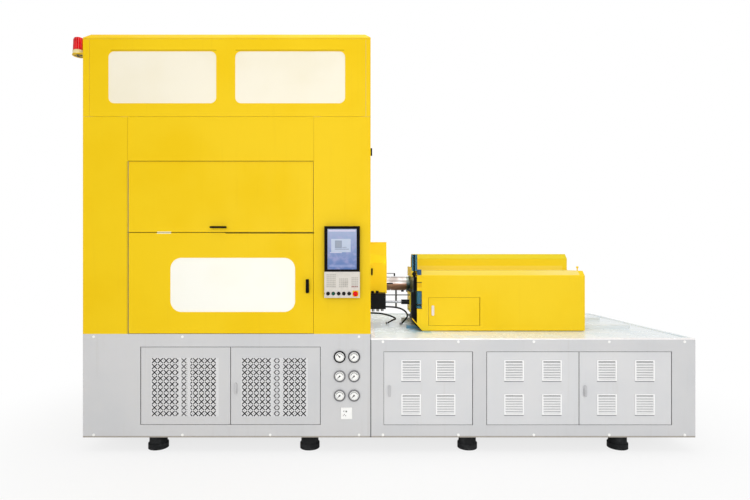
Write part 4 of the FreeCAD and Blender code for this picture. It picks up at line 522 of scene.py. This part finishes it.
black_plastic = moulded("black_plastic", shade(4, 4, 6), shade(11, 11, 13), 0.42, shine=0.06)
foot_rubber = moulded("foot_rubber", shade(30, 31, 32), shade(56, 57, 58), 0.7, 400, 0.3)
hose_rubber = moulded("hose_rubber", shade(10, 10, 12), shade(24, 24, 26), 0.4, 600, 0.2)
red_button = moulded("red_button", shade(222, 6, 16), shade(198, 4, 12), 0.25, 300, 0.03)
green_button = moulded("green_button", shade(8, 92, 70), shade(6, 74, 56), 0.25, 300, 0.03)
black_button = moulded("black_button", shade(6, 6, 7), shade(14, 14, 15), 0.25, 300, 0.03)
dark_iron = moulded("dark_iron", shade(10, 11, 14), shade(24, 26, 32), 0.5, 300, 0.3)
# The frames behind the door gaps are dark primer, dark enough to be painted shade in the gaps.
frame_primer_and_shade = moulded("frame_primer_and_shade", shade(76, 77, 80), shade(90, 91, 94), 0.6, 300, 0.2)
beacon_cream = moulded("beacon_cream", shade(240, 224, 166), shade(228, 206, 140), 0.4, 400, 0.1)
latch_zinc = moulded("latch_zinc", shade(196, 196, 198), shade(172, 172, 175), 0.4, 300, 0.1, 0.3)
hatch_zinc = moulded("hatch_zinc", shade(236, 226, 222), shade(206, 198, 196), 0.3, 300, 0.1)
print("moulded:", black_plastic.material.name, "to", hatch_zinc.material.name)

# %% [markdown]
# ## Metals
#
# Machined steel shows fine lines from the tool, which stretch the noise one way. Faint smears
# change its shine, so that it isn't a perfect mirror.

# %% Machine the metals
def machined(name, colour, tinted, rough, lines=(3, 60, 60), metal=1.0):
    """Metal with tool lines: the spot is squeezed along one axis before the noise is read."""
    finish = Finish(name, Metallic=metal, Roughness=rough)
    spot = finish.place()[0]
    grain = finish.noise(finish.stretched(spot, *lines), 4.0, 3.0)
    smear = finish.ease(finish.noise(spot, 9, 4.0), 0.4, 0.75)
    finish.feed("Base Color", finish.blend(smear, colour, tinted))
    uneven = grain * 0.6 + smear * 0.4
    finish.feed("Roughness", finish.ease(uneven, 0.25, 0.75, rough - 0.06, rough + 0.14))
    finish.bump(grain, 0.12, 0.0004)
    return finish


steel = machined("machined_steel", shade(166, 167, 170), shade(142, 143, 147), 0.42)
mould_metal = machined("mould_aluminium", shade(186, 187, 191), shade(166, 168, 172), 0.38)
print("metals:", steel.material.name, mould_metal.material.name)

# %% [markdown]
# ## Gauges
#
# The CAD file groups what moves together, so one node can be several finishes at once, and masks
# in space tell them apart. The upper two gauges have black and dark rims and the others grey
# ones. A dial repeats from gauge to gauge, so its print is drawn round the nearest centre.

# %% Print the dials
DIAL_STEP = (GAUGES_ALONG[1] - GAUGES_ALONG[0]) / 1000, (GAUGES_UP[1] - GAUGES_UP[0]) / 1000
DIAL_MARKS = 36


def gauge_rims():
    grey_rim, smeared = shade(150, 150, 152), shade(120, 120, 123)
    finish = machined("gauge_rims", grey_rim, smeared, 0.32, (60, 60, 60), 0.6)
    finish.touch_up((1, shade(72, 72, 74), (2202, -60, 740), (2330, 60, 900)),
                    (1, shade(22, 22, 24), (2080, -60, 740), (2202, 60, 900)))
    return finish


def printed_dials():
    """White dials: a shaded rim, a grey arc over the top and fine marks all round."""
    finish = moulded("printed_dials", shade(252, 252, 250), shade(244, 244, 242), 0.4, 500, 0.02)
    _, along, back, up = finish.place()
    centre = at(GAUGES_ALONG[0], 0, GAUGES_UP[0])
    aside = nearest(along, centre.x, DIAL_STEP[0])
    above = nearest(up, centre.z, DIAL_STEP[1])
    out = reach(aside, above)
    turns = above.turn(aside) * (DIAL_MARKS / (2 * math.pi))
    marks = (turns % 1.0 < 0.24) * (out > 0.030) * (out < 0.0365)
    arc = (out > 0.025) * (out < 0.030) * finish.ease(above, 0.002, 0.014)
    printed = finish.blend(marks * 0.9, finish.coat(), shade(30, 30, 32))
    printed = finish.blend(arc * 0.8, printed, shade(84, 86, 90))
    black_one = finish.within((along, back, up), (2082, -60, 712), (2202, 60, 874))
    rim = finish.blend(black_one, shade(104, 104, 106), shade(14, 14, 16))
    finish.feed("Base Color", finish.blend(finish.ease(out, 0.037, 0.039), printed, rim))
    return finish


gauge_metal = gauge_rims()
gauge_dial = printed_dials()
print("dials repeat every", DIAL_STEP, "metres")

# %% [markdown]
# ## The outlet and the caps
#
# The outlet plate and the screw caps are one white plastic. Two slots and a wider one lie in the
# plate's upper half, and three below.

# %% Colour the outlet
SLOTS = ((2172, 336, 4, 12), (2184, 336, 4, 12), (2193, 334, 10, 12),
         (2180, 309, 4, 11), (2190, 301, 4, 11), (2170, 301, 4, 11))


def outlet_paint():
    finish = moulded("outlet_white", shade(252, 252, 250), shade(244, 244, 241), 0.35)
    finish.touch_up(*[(1, shade(70, 70, 74), (left, -20, low), (left + wide, 2, low + tall))
                      for left, low, wide, tall in SLOTS])
    return finish


outlet_white = outlet_paint()
print("slots:", len(SLOTS))

# %% [markdown]
# ## The heated barrel and its carriage
#
# The heater bands are bright above, and below a brown reflection is painted on them, with a
# wavy edge between. The collar at their right end is painted iron, and its fittings are dark.
# The carriage is black iron with teal castings and a yellow flange, painted brighter than the
# cover's yellow as painted light, since its faces turn away from the lamps.

# %% Heat the barrel
def heated_barrel():
    finish = machined("heater_bands", shade(196, 190, 188), shade(170, 162, 160), 0.36, (40, 3, 3))
    spot, along, _, up = finish.place()
    # A painted reflection: brown on the lower half of the bands.
    wavy = up + finish.noise(spot, 8, 3.0) * 0.03
    brown = finish.ease(wavy, at(0, 0, 1380).z, at(0, 0, 1366).z)
    brown_reflection = finish.blend(brown * 0.9, finish.coat(), shade(150, 108, 80))
    collar = finish.ease(along, at(2776, 0, 0).x, at(2781, 0, 0).x)
    iron = finish.blend(finish.ease(up, at(0, 0, 1366).z, at(0, 0, 1374).z),
                        shade(88, 104, 104), shade(150, 164, 166))
    finish.feed("Base Color", finish.blend(collar, brown_reflection, iron))
    drain, dark = shade(110, 112, 116), shade(24, 26, 30)
    finish.touch_up((1, drain, (2660, 920, 1100), (2694, 980, 1292)),
                    (1, dark, (2560, 860, 1353), (2640, 1040, 1366)),
                    (1, dark, (2726, 920, 1200), (2760, 980, 1292)))
    return finish


def carriage_paint():
    # The flange is yellow, painted brighter as painted light on faces the lamps don't reach.
    black, teal, flange_painted_light = shade(8, 9, 13), shade(44, 90, 110), shade(255, 238, 60)
    finish = moulded("carriage_paint", black, shade(22, 25, 32), 0.45, 300, 0.25)
    finish.touch_up((1, shade(74, 90, 90), (2800, 540, 1294), (2816, 1160, 1400)),
                    (1, shade(136, 152, 156), (2800, 540, 1400), (2816, 1160, 1440)),
                    (1, teal, (2836, 440, 1140), (2890, 559, 1320)),
                    (1, teal, (2788, 446, 1496), (2880, 492, 1652)),
                    (1, shade(38, 72, 104), (2838, 440, 1440), (2880, 500, 1512)),
                    (1, flange_painted_light, (2788, 636, 1090), (2796.8, 920, 1290)),
                    (1, flange_painted_light, (2802, 596, 1432), (2813.8, 1050, 1534)),
                    (1, black, (2803.2, 457, 1400), (2817.8, 473, 1660)))
    return finish


barrel_bands = heated_barrel()
carriage_iron = carriage_paint()
print("injection unit:", barrel_bands.material.name, carriage_iron.material.name)

# %% [markdown]
# The rails, rods and glands are one node as well. The front rail is blue, the rear one and what
# runs on under the cover are pale paint, the scale rod is nearly black and the rest is bright
# steel. What is painted isn't metallic, so the same masks go to the Metallic socket.

# %% Paint the rails
def rail_paint():
    finish = machined("rails_and_rods", shade(150, 152, 156), shade(120, 122, 126), 0.34)
    parts = finish.place()[1:]
    scale = finish.within(parts, (2500, 660, 1250), (3000, 700, 1268))
    front = finish.within(parts, (2740, 600, 930), (2960, 800, 972))
    rear = finish.within(parts, (2740, 600, 930), (5000, 1500, 972)) * (1 - front)
    painted = finish.blend(rear, finish.coat(), shade(226, 230, 230))
    painted = finish.blend(front, painted, shade(74, 128, 158))
    finish.feed("Base Color", finish.blend(scale, painted, shade(8, 18, 28)))
    finish.feed("Metallic", 1 - scale - front - rear)
    return finish


rail_metal = rail_paint()
print("rails:", rail_metal.material.name)

# %% [markdown]
# ## The cabinet's walls
#
# The walls are the same yellow. The shelf that carries the beacon is a shallow cup, dark inside
# when seen from below, so a round mask paints shade on it in blotches.

# %% Paint the walls
BEACON = at(-72, 72, 3332.3)
CUP_RADIUS = 0.036
CUP_BOTTOM = 3.2


def wall_paint():
    finish = enamel("yellow_walls", YELLOW, 0.42, 0.16)
    spot, along, back, up = finish.place()
    # Painted shade inside the beacon's cup, in blotches.
    cup_shade = (reach(along - BEACON.x, back - BEACON.y) < CUP_RADIUS)
    cup_shade = cup_shade * (up < BEACON.z) * (up > CUP_BOTTOM)
    cup_shade = cup_shade * finish.ease(finish.noise(spot, 30, 2.0), 0.4, 0.55)
    finish.feed("Base Color", finish.blend(cup_shade, finish.coat(), shade(52, 60, 50)))
    return finish


yellow_walls = wall_paint()
print("beacon at", rounded([BEACON])[0])

# %% [markdown]
# ## The key plate
#
# One pressing carries the film keys, the rings of the push buttons and the plate round the
# emergency stop. Depth tells them apart: the rings stand furthest out, then the raised fields.
# Round each button the plate is printed black.

# %% Print the key plate
BUTTON_PRINT = 0.0155


def key_paint():
    finish = moulded("key_plate", shade(219, 214, 206), shade(208, 203, 196), 0.5, 500)
    ink = shade(8, 8, 9)
    finish.touch_up((1, shade(243, 206, 20), (2249, -49.8, 1290), (2299.5, -48.3, 1360)))
    _, along, _, up = finish.place()
    out = reach(nearest(along, FIRST_BUTTON.x, BUTTON_STEP), up - FIRST_BUTTON.z)
    discs = (out < BUTTON_PRINT) * (along < at(2240, 0, 0).x)
    finish.feed("Base Color", finish.blend(discs, finish.coat(), ink))
    finish.touch_up((1, ink, (2020, -60, 1300), (2320, -49.8, 1350)))
    return finish


key_plate = key_paint()
print("key plate printed, nodes:", len(key_plate.tree.nodes))

# %% [markdown]
# ## Lit panes
#
# The window panes are opal plastic. The hall behind the camera lights them and they look almost
# evenly cream, so a little glow is added to the surface instead of more light on the machine.

# %% Fill the windows
PANE_GLOW = 0.01


def opal(name, colour, edge):
    """A milky pane, with a faint glow of its own colour and slow clouds in it."""
    finish = Finish(name, Roughness=0.3, Emission_Strength=PANE_GLOW)
    spot = finish.place()[0]
    clouds = finish.ease(finish.noise(spot, 2.2, 3.0), 0.35, 0.75)
    body = finish.blend(clouds, colour, edge)
    finish.feed("Base Color", body)
    finish.feed("Emission Color", body)
    finish.bump(finish.noise(spot, 3.0), 0.05, 0.001)
    return finish


cream_pane = opal("cream_pane", shade(245, 238, 217), shade(242, 234, 209))
white_pane = opal("white_pane", shade(251, 250, 240), shade(249, 247, 233))
print("panes:", cream_pane.material.name, white_pane.material.name)

# %% [markdown]
# ## The beacon's lens
#
# The lens is red plastic with upright flutes. At this distance it reads as a deep red with paler
# edges on the flutes, so the angle round the lens drives a row of pale stripes, painted highlights.

# %% Colour the lens
LENS_RIBS = 15


def signal_lens():
    finish = Finish("red_lens", Roughness=0.3, Specular_IOR_Level=0.08, Coat_Weight=0.03)
    spot, along, back, _ = finish.place()
    clouds = finish.ease(finish.noise(spot, 30, 3.0), 0.4, 0.7)
    red = finish.blend(clouds, shade(228, 8, 20), shade(196, 2, 10))
    turns = (back - BEACON.y).turn(along - BEACON.x) * (LENS_RIBS / (2 * math.pi))
    # Painted highlights: a pale stripe on each flute.
    rib_highlights = finish.ease(abs((turns + 0.75) % 1.0 - 0.5), 0.37, 0.47)
    finish.feed("Base Color", finish.blend(rib_highlights * 0.3, red, shade(244, 196, 190)))
    return finish


red_lens = signal_lens()
print("lens:", red_lens.material.name)

# %% [markdown]
# ## The screen's picture
#
# The touch screen shows a pale machine sketch on a blue-grey field. The sketch is drawn with
# shader maths: a box is the product of two steps across and two steps up. The picture carries no
# words, so it fits any maker's machine.

# %% Draw the screen
SKETCH = ((0.75, shade(214, 206, 226), 0.03, 0.97, 0.93, 0.985),
          (0.6, shade(205, 214, 224), 0.12, 0.8, 0.42, 0.76),
          (0.75, shade(122, 132, 150), 0.25, 0.5, 0.52, 0.72),
          (0.7, shade(150, 158, 172), 0.28, 0.47, 0.55, 0.7),
          (0.75, shade(110, 118, 138), 0.25, 0.74, 0.485, 0.515),
          (0.7, shade(120, 128, 146), 0.5, 0.66, 0.53, 0.56),
          (0.6, shade(226, 222, 232), 0.08, 0.5, 0.40, 0.43),
          (0.5, shade(150, 162, 200), 0.06, 0.94, 0.05, 0.12))


def screen_picture():
    """Each row of the sketch is a share, a colour, and a left, right, lower and upper edge."""
    low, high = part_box("hmi_screen")
    wide, tall = high.x - low.x, high.z - low.z
    finish = Finish("screen_picture", Roughness=0.2, Specular_IOR_Level=0.15, Emission_Strength=0.1)
    spot, along, _, up = finish.place()
    across = (along - low.x) / wide
    rise = (up - low.z) / tall

    def patch(left, right, bottom, top, soft=0.012):
        sides = finish.ease(across, left, left + soft) * finish.ease(across, right, right - soft)
        return sides * finish.ease(rise, bottom, bottom + soft) * finish.ease(rise, top, top - soft)

    clouds = finish.ease(finish.noise(spot, 22, 3.0), 0.4, 0.7)
    picture = finish.blend(rise, shade(84, 112, 168), shade(158, 172, 200))
    picture = finish.blend(clouds * 0.4, picture, shade(176, 168, 204))
    for share, colour, *edges in SKETCH:
        picture = finish.blend(patch(*edges) * share, picture, colour)
    finish.feed("Base Color", picture)
    finish.feed("Emission Color", picture)
    return finish


screen_glass = screen_picture()
print("screen drawn, nodes:", len(screen_glass.tree.nodes))

# %% [markdown]
# ## One finish for each slot of the record
#
# The CAD record names a material slot for each node. A table from slot to finish dresses them
# all at once, and a slot that the table lacks would show up here as a missing key. A second
# table gives some nodes a finish of their own.

# %% Dress the CAD nodes
slot_finish = {"yellow_paint": yellow, "grey_paint": grey, "pale_deck": deck,
               "black_plastic": black_plastic, "foot_rubber": foot_rubber, "steel": steel,
               "mould_metal": mould_metal, "dark_iron": dark_iron, "white_plastic": outlet_white,
               "gauge_metal": gauge_metal, "latch_metal": latch_zinc, "pane": cream_pane,
               "screen_glass": screen_glass, "key_membrane": key_plate, "red_lens": red_lens,
               "red_button": red_button, "green_button": green_button,
               "black_button": black_button, "hose_rubber": hose_rubber}
own_finish = {"front_panels": yellow_front, "swing_door": yellow_front, "lift_door": yellow_lift,
              "injection_covers": yellow_cover, "hatch": yellow_hatch,
              "cabinet_walls": yellow_walls, "base_fronts": base_front,
              "base_frames": frame_primer_and_shade, "base_cladding": base_cladding,
              "perforated_door_left": perforated_door, "perforated_door_right": perforated_door,
              "louvre_door_1": louvre_door, "louvre_door_2": louvre_door,
              "louvre_door_3": louvre_door, "latch_hatch": hatch_zinc,
              "barrel": barrel_bands, "carriage": carriage_iron, "guide_rails": rail_metal,
              "gauge_dials": gauge_dial, "sight_pane": white_pane, "beacon_base": beacon_cream}


def dress(node, finish):
    shape = frame["nodes"][node]
    shape.data.materials.clear()
    shape.data.materials.append(finish.material)


for subpart in frame["record"]["subparts"]:
    dress(subpart["node"], slot_finish[subpart["material_slot"]])
for node, finish in own_finish.items():
    dress(node, finish)

# %% [markdown]
# ## Keys and hubs
#
# Some trim is too fine for the CAD file. Each key or hub could be an object of its own, but they
# never move alone, so each kind is one mesh that rides on the machine's fixed body. The helper
# takes the function that fills the mesh, so every kind of trim is made the same way.

# %% Make a small part
def small_part(name, mesh_maker, finish, slot):
    """A piece that isn't in the CAD file: a mesh that rides on the machine's fixed body."""
    shape = bmesh.new()
    mesh_maker(shape)
    mesh = bpy.data.meshes.new(name)
    shape.to_mesh(mesh)
    shape.free()
    piece = bpy.data.objects.new(name, mesh)
    bpy.context.scene.collection.objects.link(piece)
    mesh.materials.append(finish.material)
    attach(piece, "machine")
    print(name, "faces:", len(mesh.polygons))


print("small part:", small_part.__doc__)

# %% [markdown]
# The film keys are small raised fields in a sheet of film over the key plate. They could be
# painted on, but their soft edges catch the light, so they are small cubes with a bevel, laid
# out in three fields of columns and rows.

# %% Lay the film keys
KEY_FIELDS = ((2035, 77, 113, 6, 7), (2138, 75, 78, 5, 5), (2240, 55, 88, 4, 6))
KEY_FACE, KEYS_FROM = -49.8, 1373
KEY_WIDE, KEY_THICK, KEY_TALL = 0.00076, 0.001, 0.0007


def film_keys(shape):
    """A field is its left edge, width, height, columns and rows; KEY_WIDE and KEY_TALL are the
    metres of key in a millimetre of its field."""
    for left, wide, tall, columns, rows in KEY_FIELDS:
        for column in range(columns):
            for row in range(rows):
                middle = at(left + (column + 0.5) * wide / columns, KEY_FACE,
                            KEYS_FROM + (row + 0.5) * tall / rows)
                size = (wide / columns * KEY_WIDE, KEY_THICK, tall / rows * KEY_TALL)
                bmesh.ops.create_cube(shape, size=1, matrix=Matrix.LocRotScale(middle, None, size))
    bmesh.ops.bevel(shape, geom=shape.edges[:], offset=0.0004, segments=2, affect="EDGES")


def film_paint():
    """Grey film, with the lowest row of the right field in red."""
    finish = moulded("key_film", shade(190, 186, 178), shade(172, 168, 160), 0.5, 500)
    finish.touch_up((1, shade(150, 104, 100), (2238, -60, 1370), (2300, -40, 1387)))
    return finish


small_part("film_keys", film_keys, film_paint(), "key_membrane")

# %% [markdown]
# The pointer of each gauge turns on a small hub that stands in front of the dial. A real hub is
# turned from a rod, so it is a short drum with a cut cone on it, both lying on their side.

# %% Turn the hubs
HUB = ((6, 6, -9, -10.6), (6, 3.4, -10.6, -12.0))


def hubs(shape):
    """Each step of a hub is its two radii and the depths at which it starts and ends."""
    upright = Matrix.Rotation(math.pi / 2, 4, "X")
    for along in GAUGES_ALONG:
        for up in GAUGES_UP:
            for radius, tip, start, end in HUB:
                place = Matrix.Translation(at(along, (start + end) / 2, up)) @ upright
                bmesh.ops.create_cone(shape, cap_ends=True, segments=24, radius1=radius / 1000,
                                      radius2=tip / 1000, depth=(start - end) / 1000, matrix=place)


small_part("pointer_hubs", hubs, black_plastic, "black_plastic")

# %% [markdown]
# ## Boots on the feet
#
# A thick rubber boot closes round the stud of each foot, with a step where it sits on the pad. It
# is turned as on a lathe: an outline in radius and height, spun round the stud.

# %% Turn the boots
BOOT = ((60, 21), (81, 21), (83, 24), (83, 43), (81, 46), (75, 48), (73, 51), (73, 102), (71, 108),
        (64, 112), (38, 114), (30, 114))
TURNS = 48


def boots(shape):
    angles = [2 * math.pi * turn / TURNS for turn in range(TURNS)]
    for along in FEET_ALONG:
        for back in FEET_BACK:
            rings = [[shape.verts.new(at(along + radius * math.cos(angle),
                                         back + radius * math.sin(angle), up))
                      for angle in angles] for radius, up in BOOT]
            for lower, upper in zip(rings, rings[1:]):
                for turn in range(TURNS):
                    after = (turn + 1) % TURNS
                    face = shape.faces.new((lower[turn], lower[after], upper[after], upper[turn]))
                    face.smooth = True


small_part("foot_boots", boots, foot_rubber, "foot_rubber")

# %% [markdown]
# ## Two hoses
#
# The hoses leave the valve block, hang in a slack bow and enter the deck through glands. A
# hose is stiff rubber, so a smooth spline through few points shows it better than many.

# %% Hang the hoses
HOSE_RADIUS = 0.008


def hose(name, route):
    curve = bpy.data.curves.new(name, "CURVE")
    curve.dimensions = "3D"
    curve.bevel_depth = HOSE_RADIUS
    curve.bevel_resolution = 5
    line = curve.splines.new("NURBS")
    line.points.add(len(route) - 1)
    for point, spot in zip(line.points, route):
        point.co = (*at(*spot), 1)
    line.order_u = 3
    line.use_endpoint_u = True
    line.resolution_u = 12
    curve.use_fill_caps = True
    piece = bpy.data.objects.new(name + "_line", curve)
    bpy.context.scene.collection.objects.link(piece)
    curve.materials.append(hose_rubber.material)
    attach(piece, "machine")
    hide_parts(name)
    print(piece.name, "through", len(route), "points")


hose("hose_front", [(2555.3, 700, 1142), (2640, 700, 1142), (2735, 722, 1115),
                           (2785, 780, 1055), (2770, 860, 1000), (2725, 900, 949)])
hose("hose_rear", [(2400.3, 645, 1088), (2500, 645, 1088), (2620, 705, 1050),
                          (2672, 800, 1010), (2635, 895, 988), (2586, 940, 949)])

# %% [markdown]
# ## Floor and backdrop
#
# The machine stands on a plain white floor in front of nothing. Far from the machine the floor
# fades into pure white, so no horizon shows, and near it the floor keeps a soft shadow. The
# white is for the eye and for mirrors only: it adds no light to the machine.

# %% Lay the floor
FLOOR_RADIUS = 60


def studio_floor():
    sheet = bmesh.new()
    bmesh.ops.create_circle(sheet, cap_ends=True, segments=96, radius=FLOOR_RADIUS)
    mesh = bpy.data.meshes.new("floor")
    sheet.to_mesh(mesh)
    sheet.free()
    floor = bpy.data.objects.new("floor", mesh)
    bpy.context.scene.collection.objects.link(floor)
    finish = Finish("floor_white", Roughness=0.9)
    finish.surface.inputs["Base Color"].default_value = shade(238, 238, 238)
    _, along, back, _ = finish.place()
    seen = finish.node("ShaderNodeLightPath", {}, {}, "Is Camera Ray")
    shiny = finish.node("ShaderNodeLightPath", {}, {}, "Is Glossy Ray")
    glow = finish.node("ShaderNodeEmission", {}, {"Color": (1, 1, 1, 1), "Strength": 1.0})
    share = finish.ease(reach(along, back), 2.0, 4.5, 0.78, 1.0) * (seen + shiny)
    painted = Wire(finish, finish.surface.outputs[0])
    whole = finish.node("ShaderNodeMixShader", {}, {0: share, 1: painted, 2: glow})
    output = finish.tree.nodes["Material Output"]
    finish.tree.links.new(whole.socket, output.inputs["Surface"])
    mesh.materials.append(finish.material)


studio_floor()
print("floor laid, radius:", FLOOR_RADIUS)

# %% [markdown]
# ## Light
#
# The machine stood in a bright hall, where light comes from all sides. The world stands for that
# hall: an even pale light, and pure white only where the camera sees it, or a mirror or glass
# shows it. So the background is white and the paint still keeps its own colour.

# %% Light the hall
HALL_LIGHT = 0.5

world = bpy.data.worlds.new("hall")
bpy.context.scene.world = world
world.use_nodes = True
hall = Graph(world.node_tree)
backdrop = hall.tree.nodes["Background"]
backdrop.inputs["Color"].default_value = (1, 1, 1, 1)
direct = hall.node("ShaderNodeLightPath", {}, {}, "Is Camera Ray")
mirror = hall.node("ShaderNodeLightPath", {}, {}, "Is Glossy Ray")
through = hall.node("ShaderNodeLightPath", {}, {}, "Is Transmission Ray")
brightness = hall.ease(direct + mirror + through, 0.0, 1.0, HALL_LIGHT, 1.0)
hall.tree.links.new(brightness.socket, backdrop.inputs["Strength"])
print("hall light:", HALL_LIGHT)

# %% [markdown]
# Three large soft lamps hang in front, at the right and above, so that faces that look up are a
# little brighter than upright ones. The cabinet and the cover keep that light out of the gap
# between them. More power would bleach the rest, so two small lamps light only the pieces there.

# %% Set up the lamps
def softbox(name, spot, aim, size, power, spread=180):
    """A lit sheet of a size in metres, with a power in watts and a spread in degrees."""
    lamp = bpy.data.lights.new(name, "AREA")
    lamp.spread = math.radians(spread)
    lamp.shape = "RECTANGLE"
    lamp.size, lamp.size_y = size
    lamp.energy = power
    holder = bpy.data.objects.new(name, lamp)
    holder.location = spot
    holder.rotation_euler = (Vector(aim) - Vector(spot)).to_track_quat("-Z", "Y").to_euler()
    bpy.context.scene.collection.objects.link(holder)
    return holder


def only_on(lamp, *nodes):
    """Lets a lamp light nothing but these nodes."""
    receivers = bpy.data.collections.new(lamp.name + "_pieces")
    for node in nodes:
        receivers.objects.link(frame["nodes"][node])
    lamp.light_linking.receiver_collection = receivers


softbox("front_softbox", (0.3, -8.0, 3.0), (0, 0, 1.7), (9, 5), 255)
softbox("side_softbox", (6.0, -5.0, 2.4), (0.2, 0.2, 1.2), (3, 3), 12)
softbox("top_softbox", (1.0, -0.5, 7.5), (0.6, 0, 0), (7, 4), 195)
gap_lamp = softbox("gap_softbox", (1.5, -4.0, 2.6), (0.1, -0.1, 1.3), (1.2, 1.2), 4, 40)
only_on(gap_lamp, "purge_guard", "guard_grip", "barrel", "carriage", "guide_rails", "deck_plate")
deck_lamp = softbox("deck_softbox", (0.3, -1.6, 4.4), (0.1, 0.15, 0.94), (0.8, 0.8), 0.85, 22)
only_on(deck_lamp, "deck_plate")
print("small lamps:", gap_lamp.name, deck_lamp.name)

# %% [markdown]
# ## Last step
#
# Finally the view layer is updated once more.

# %% Update the view layer
bpy.context.view_layer.update()
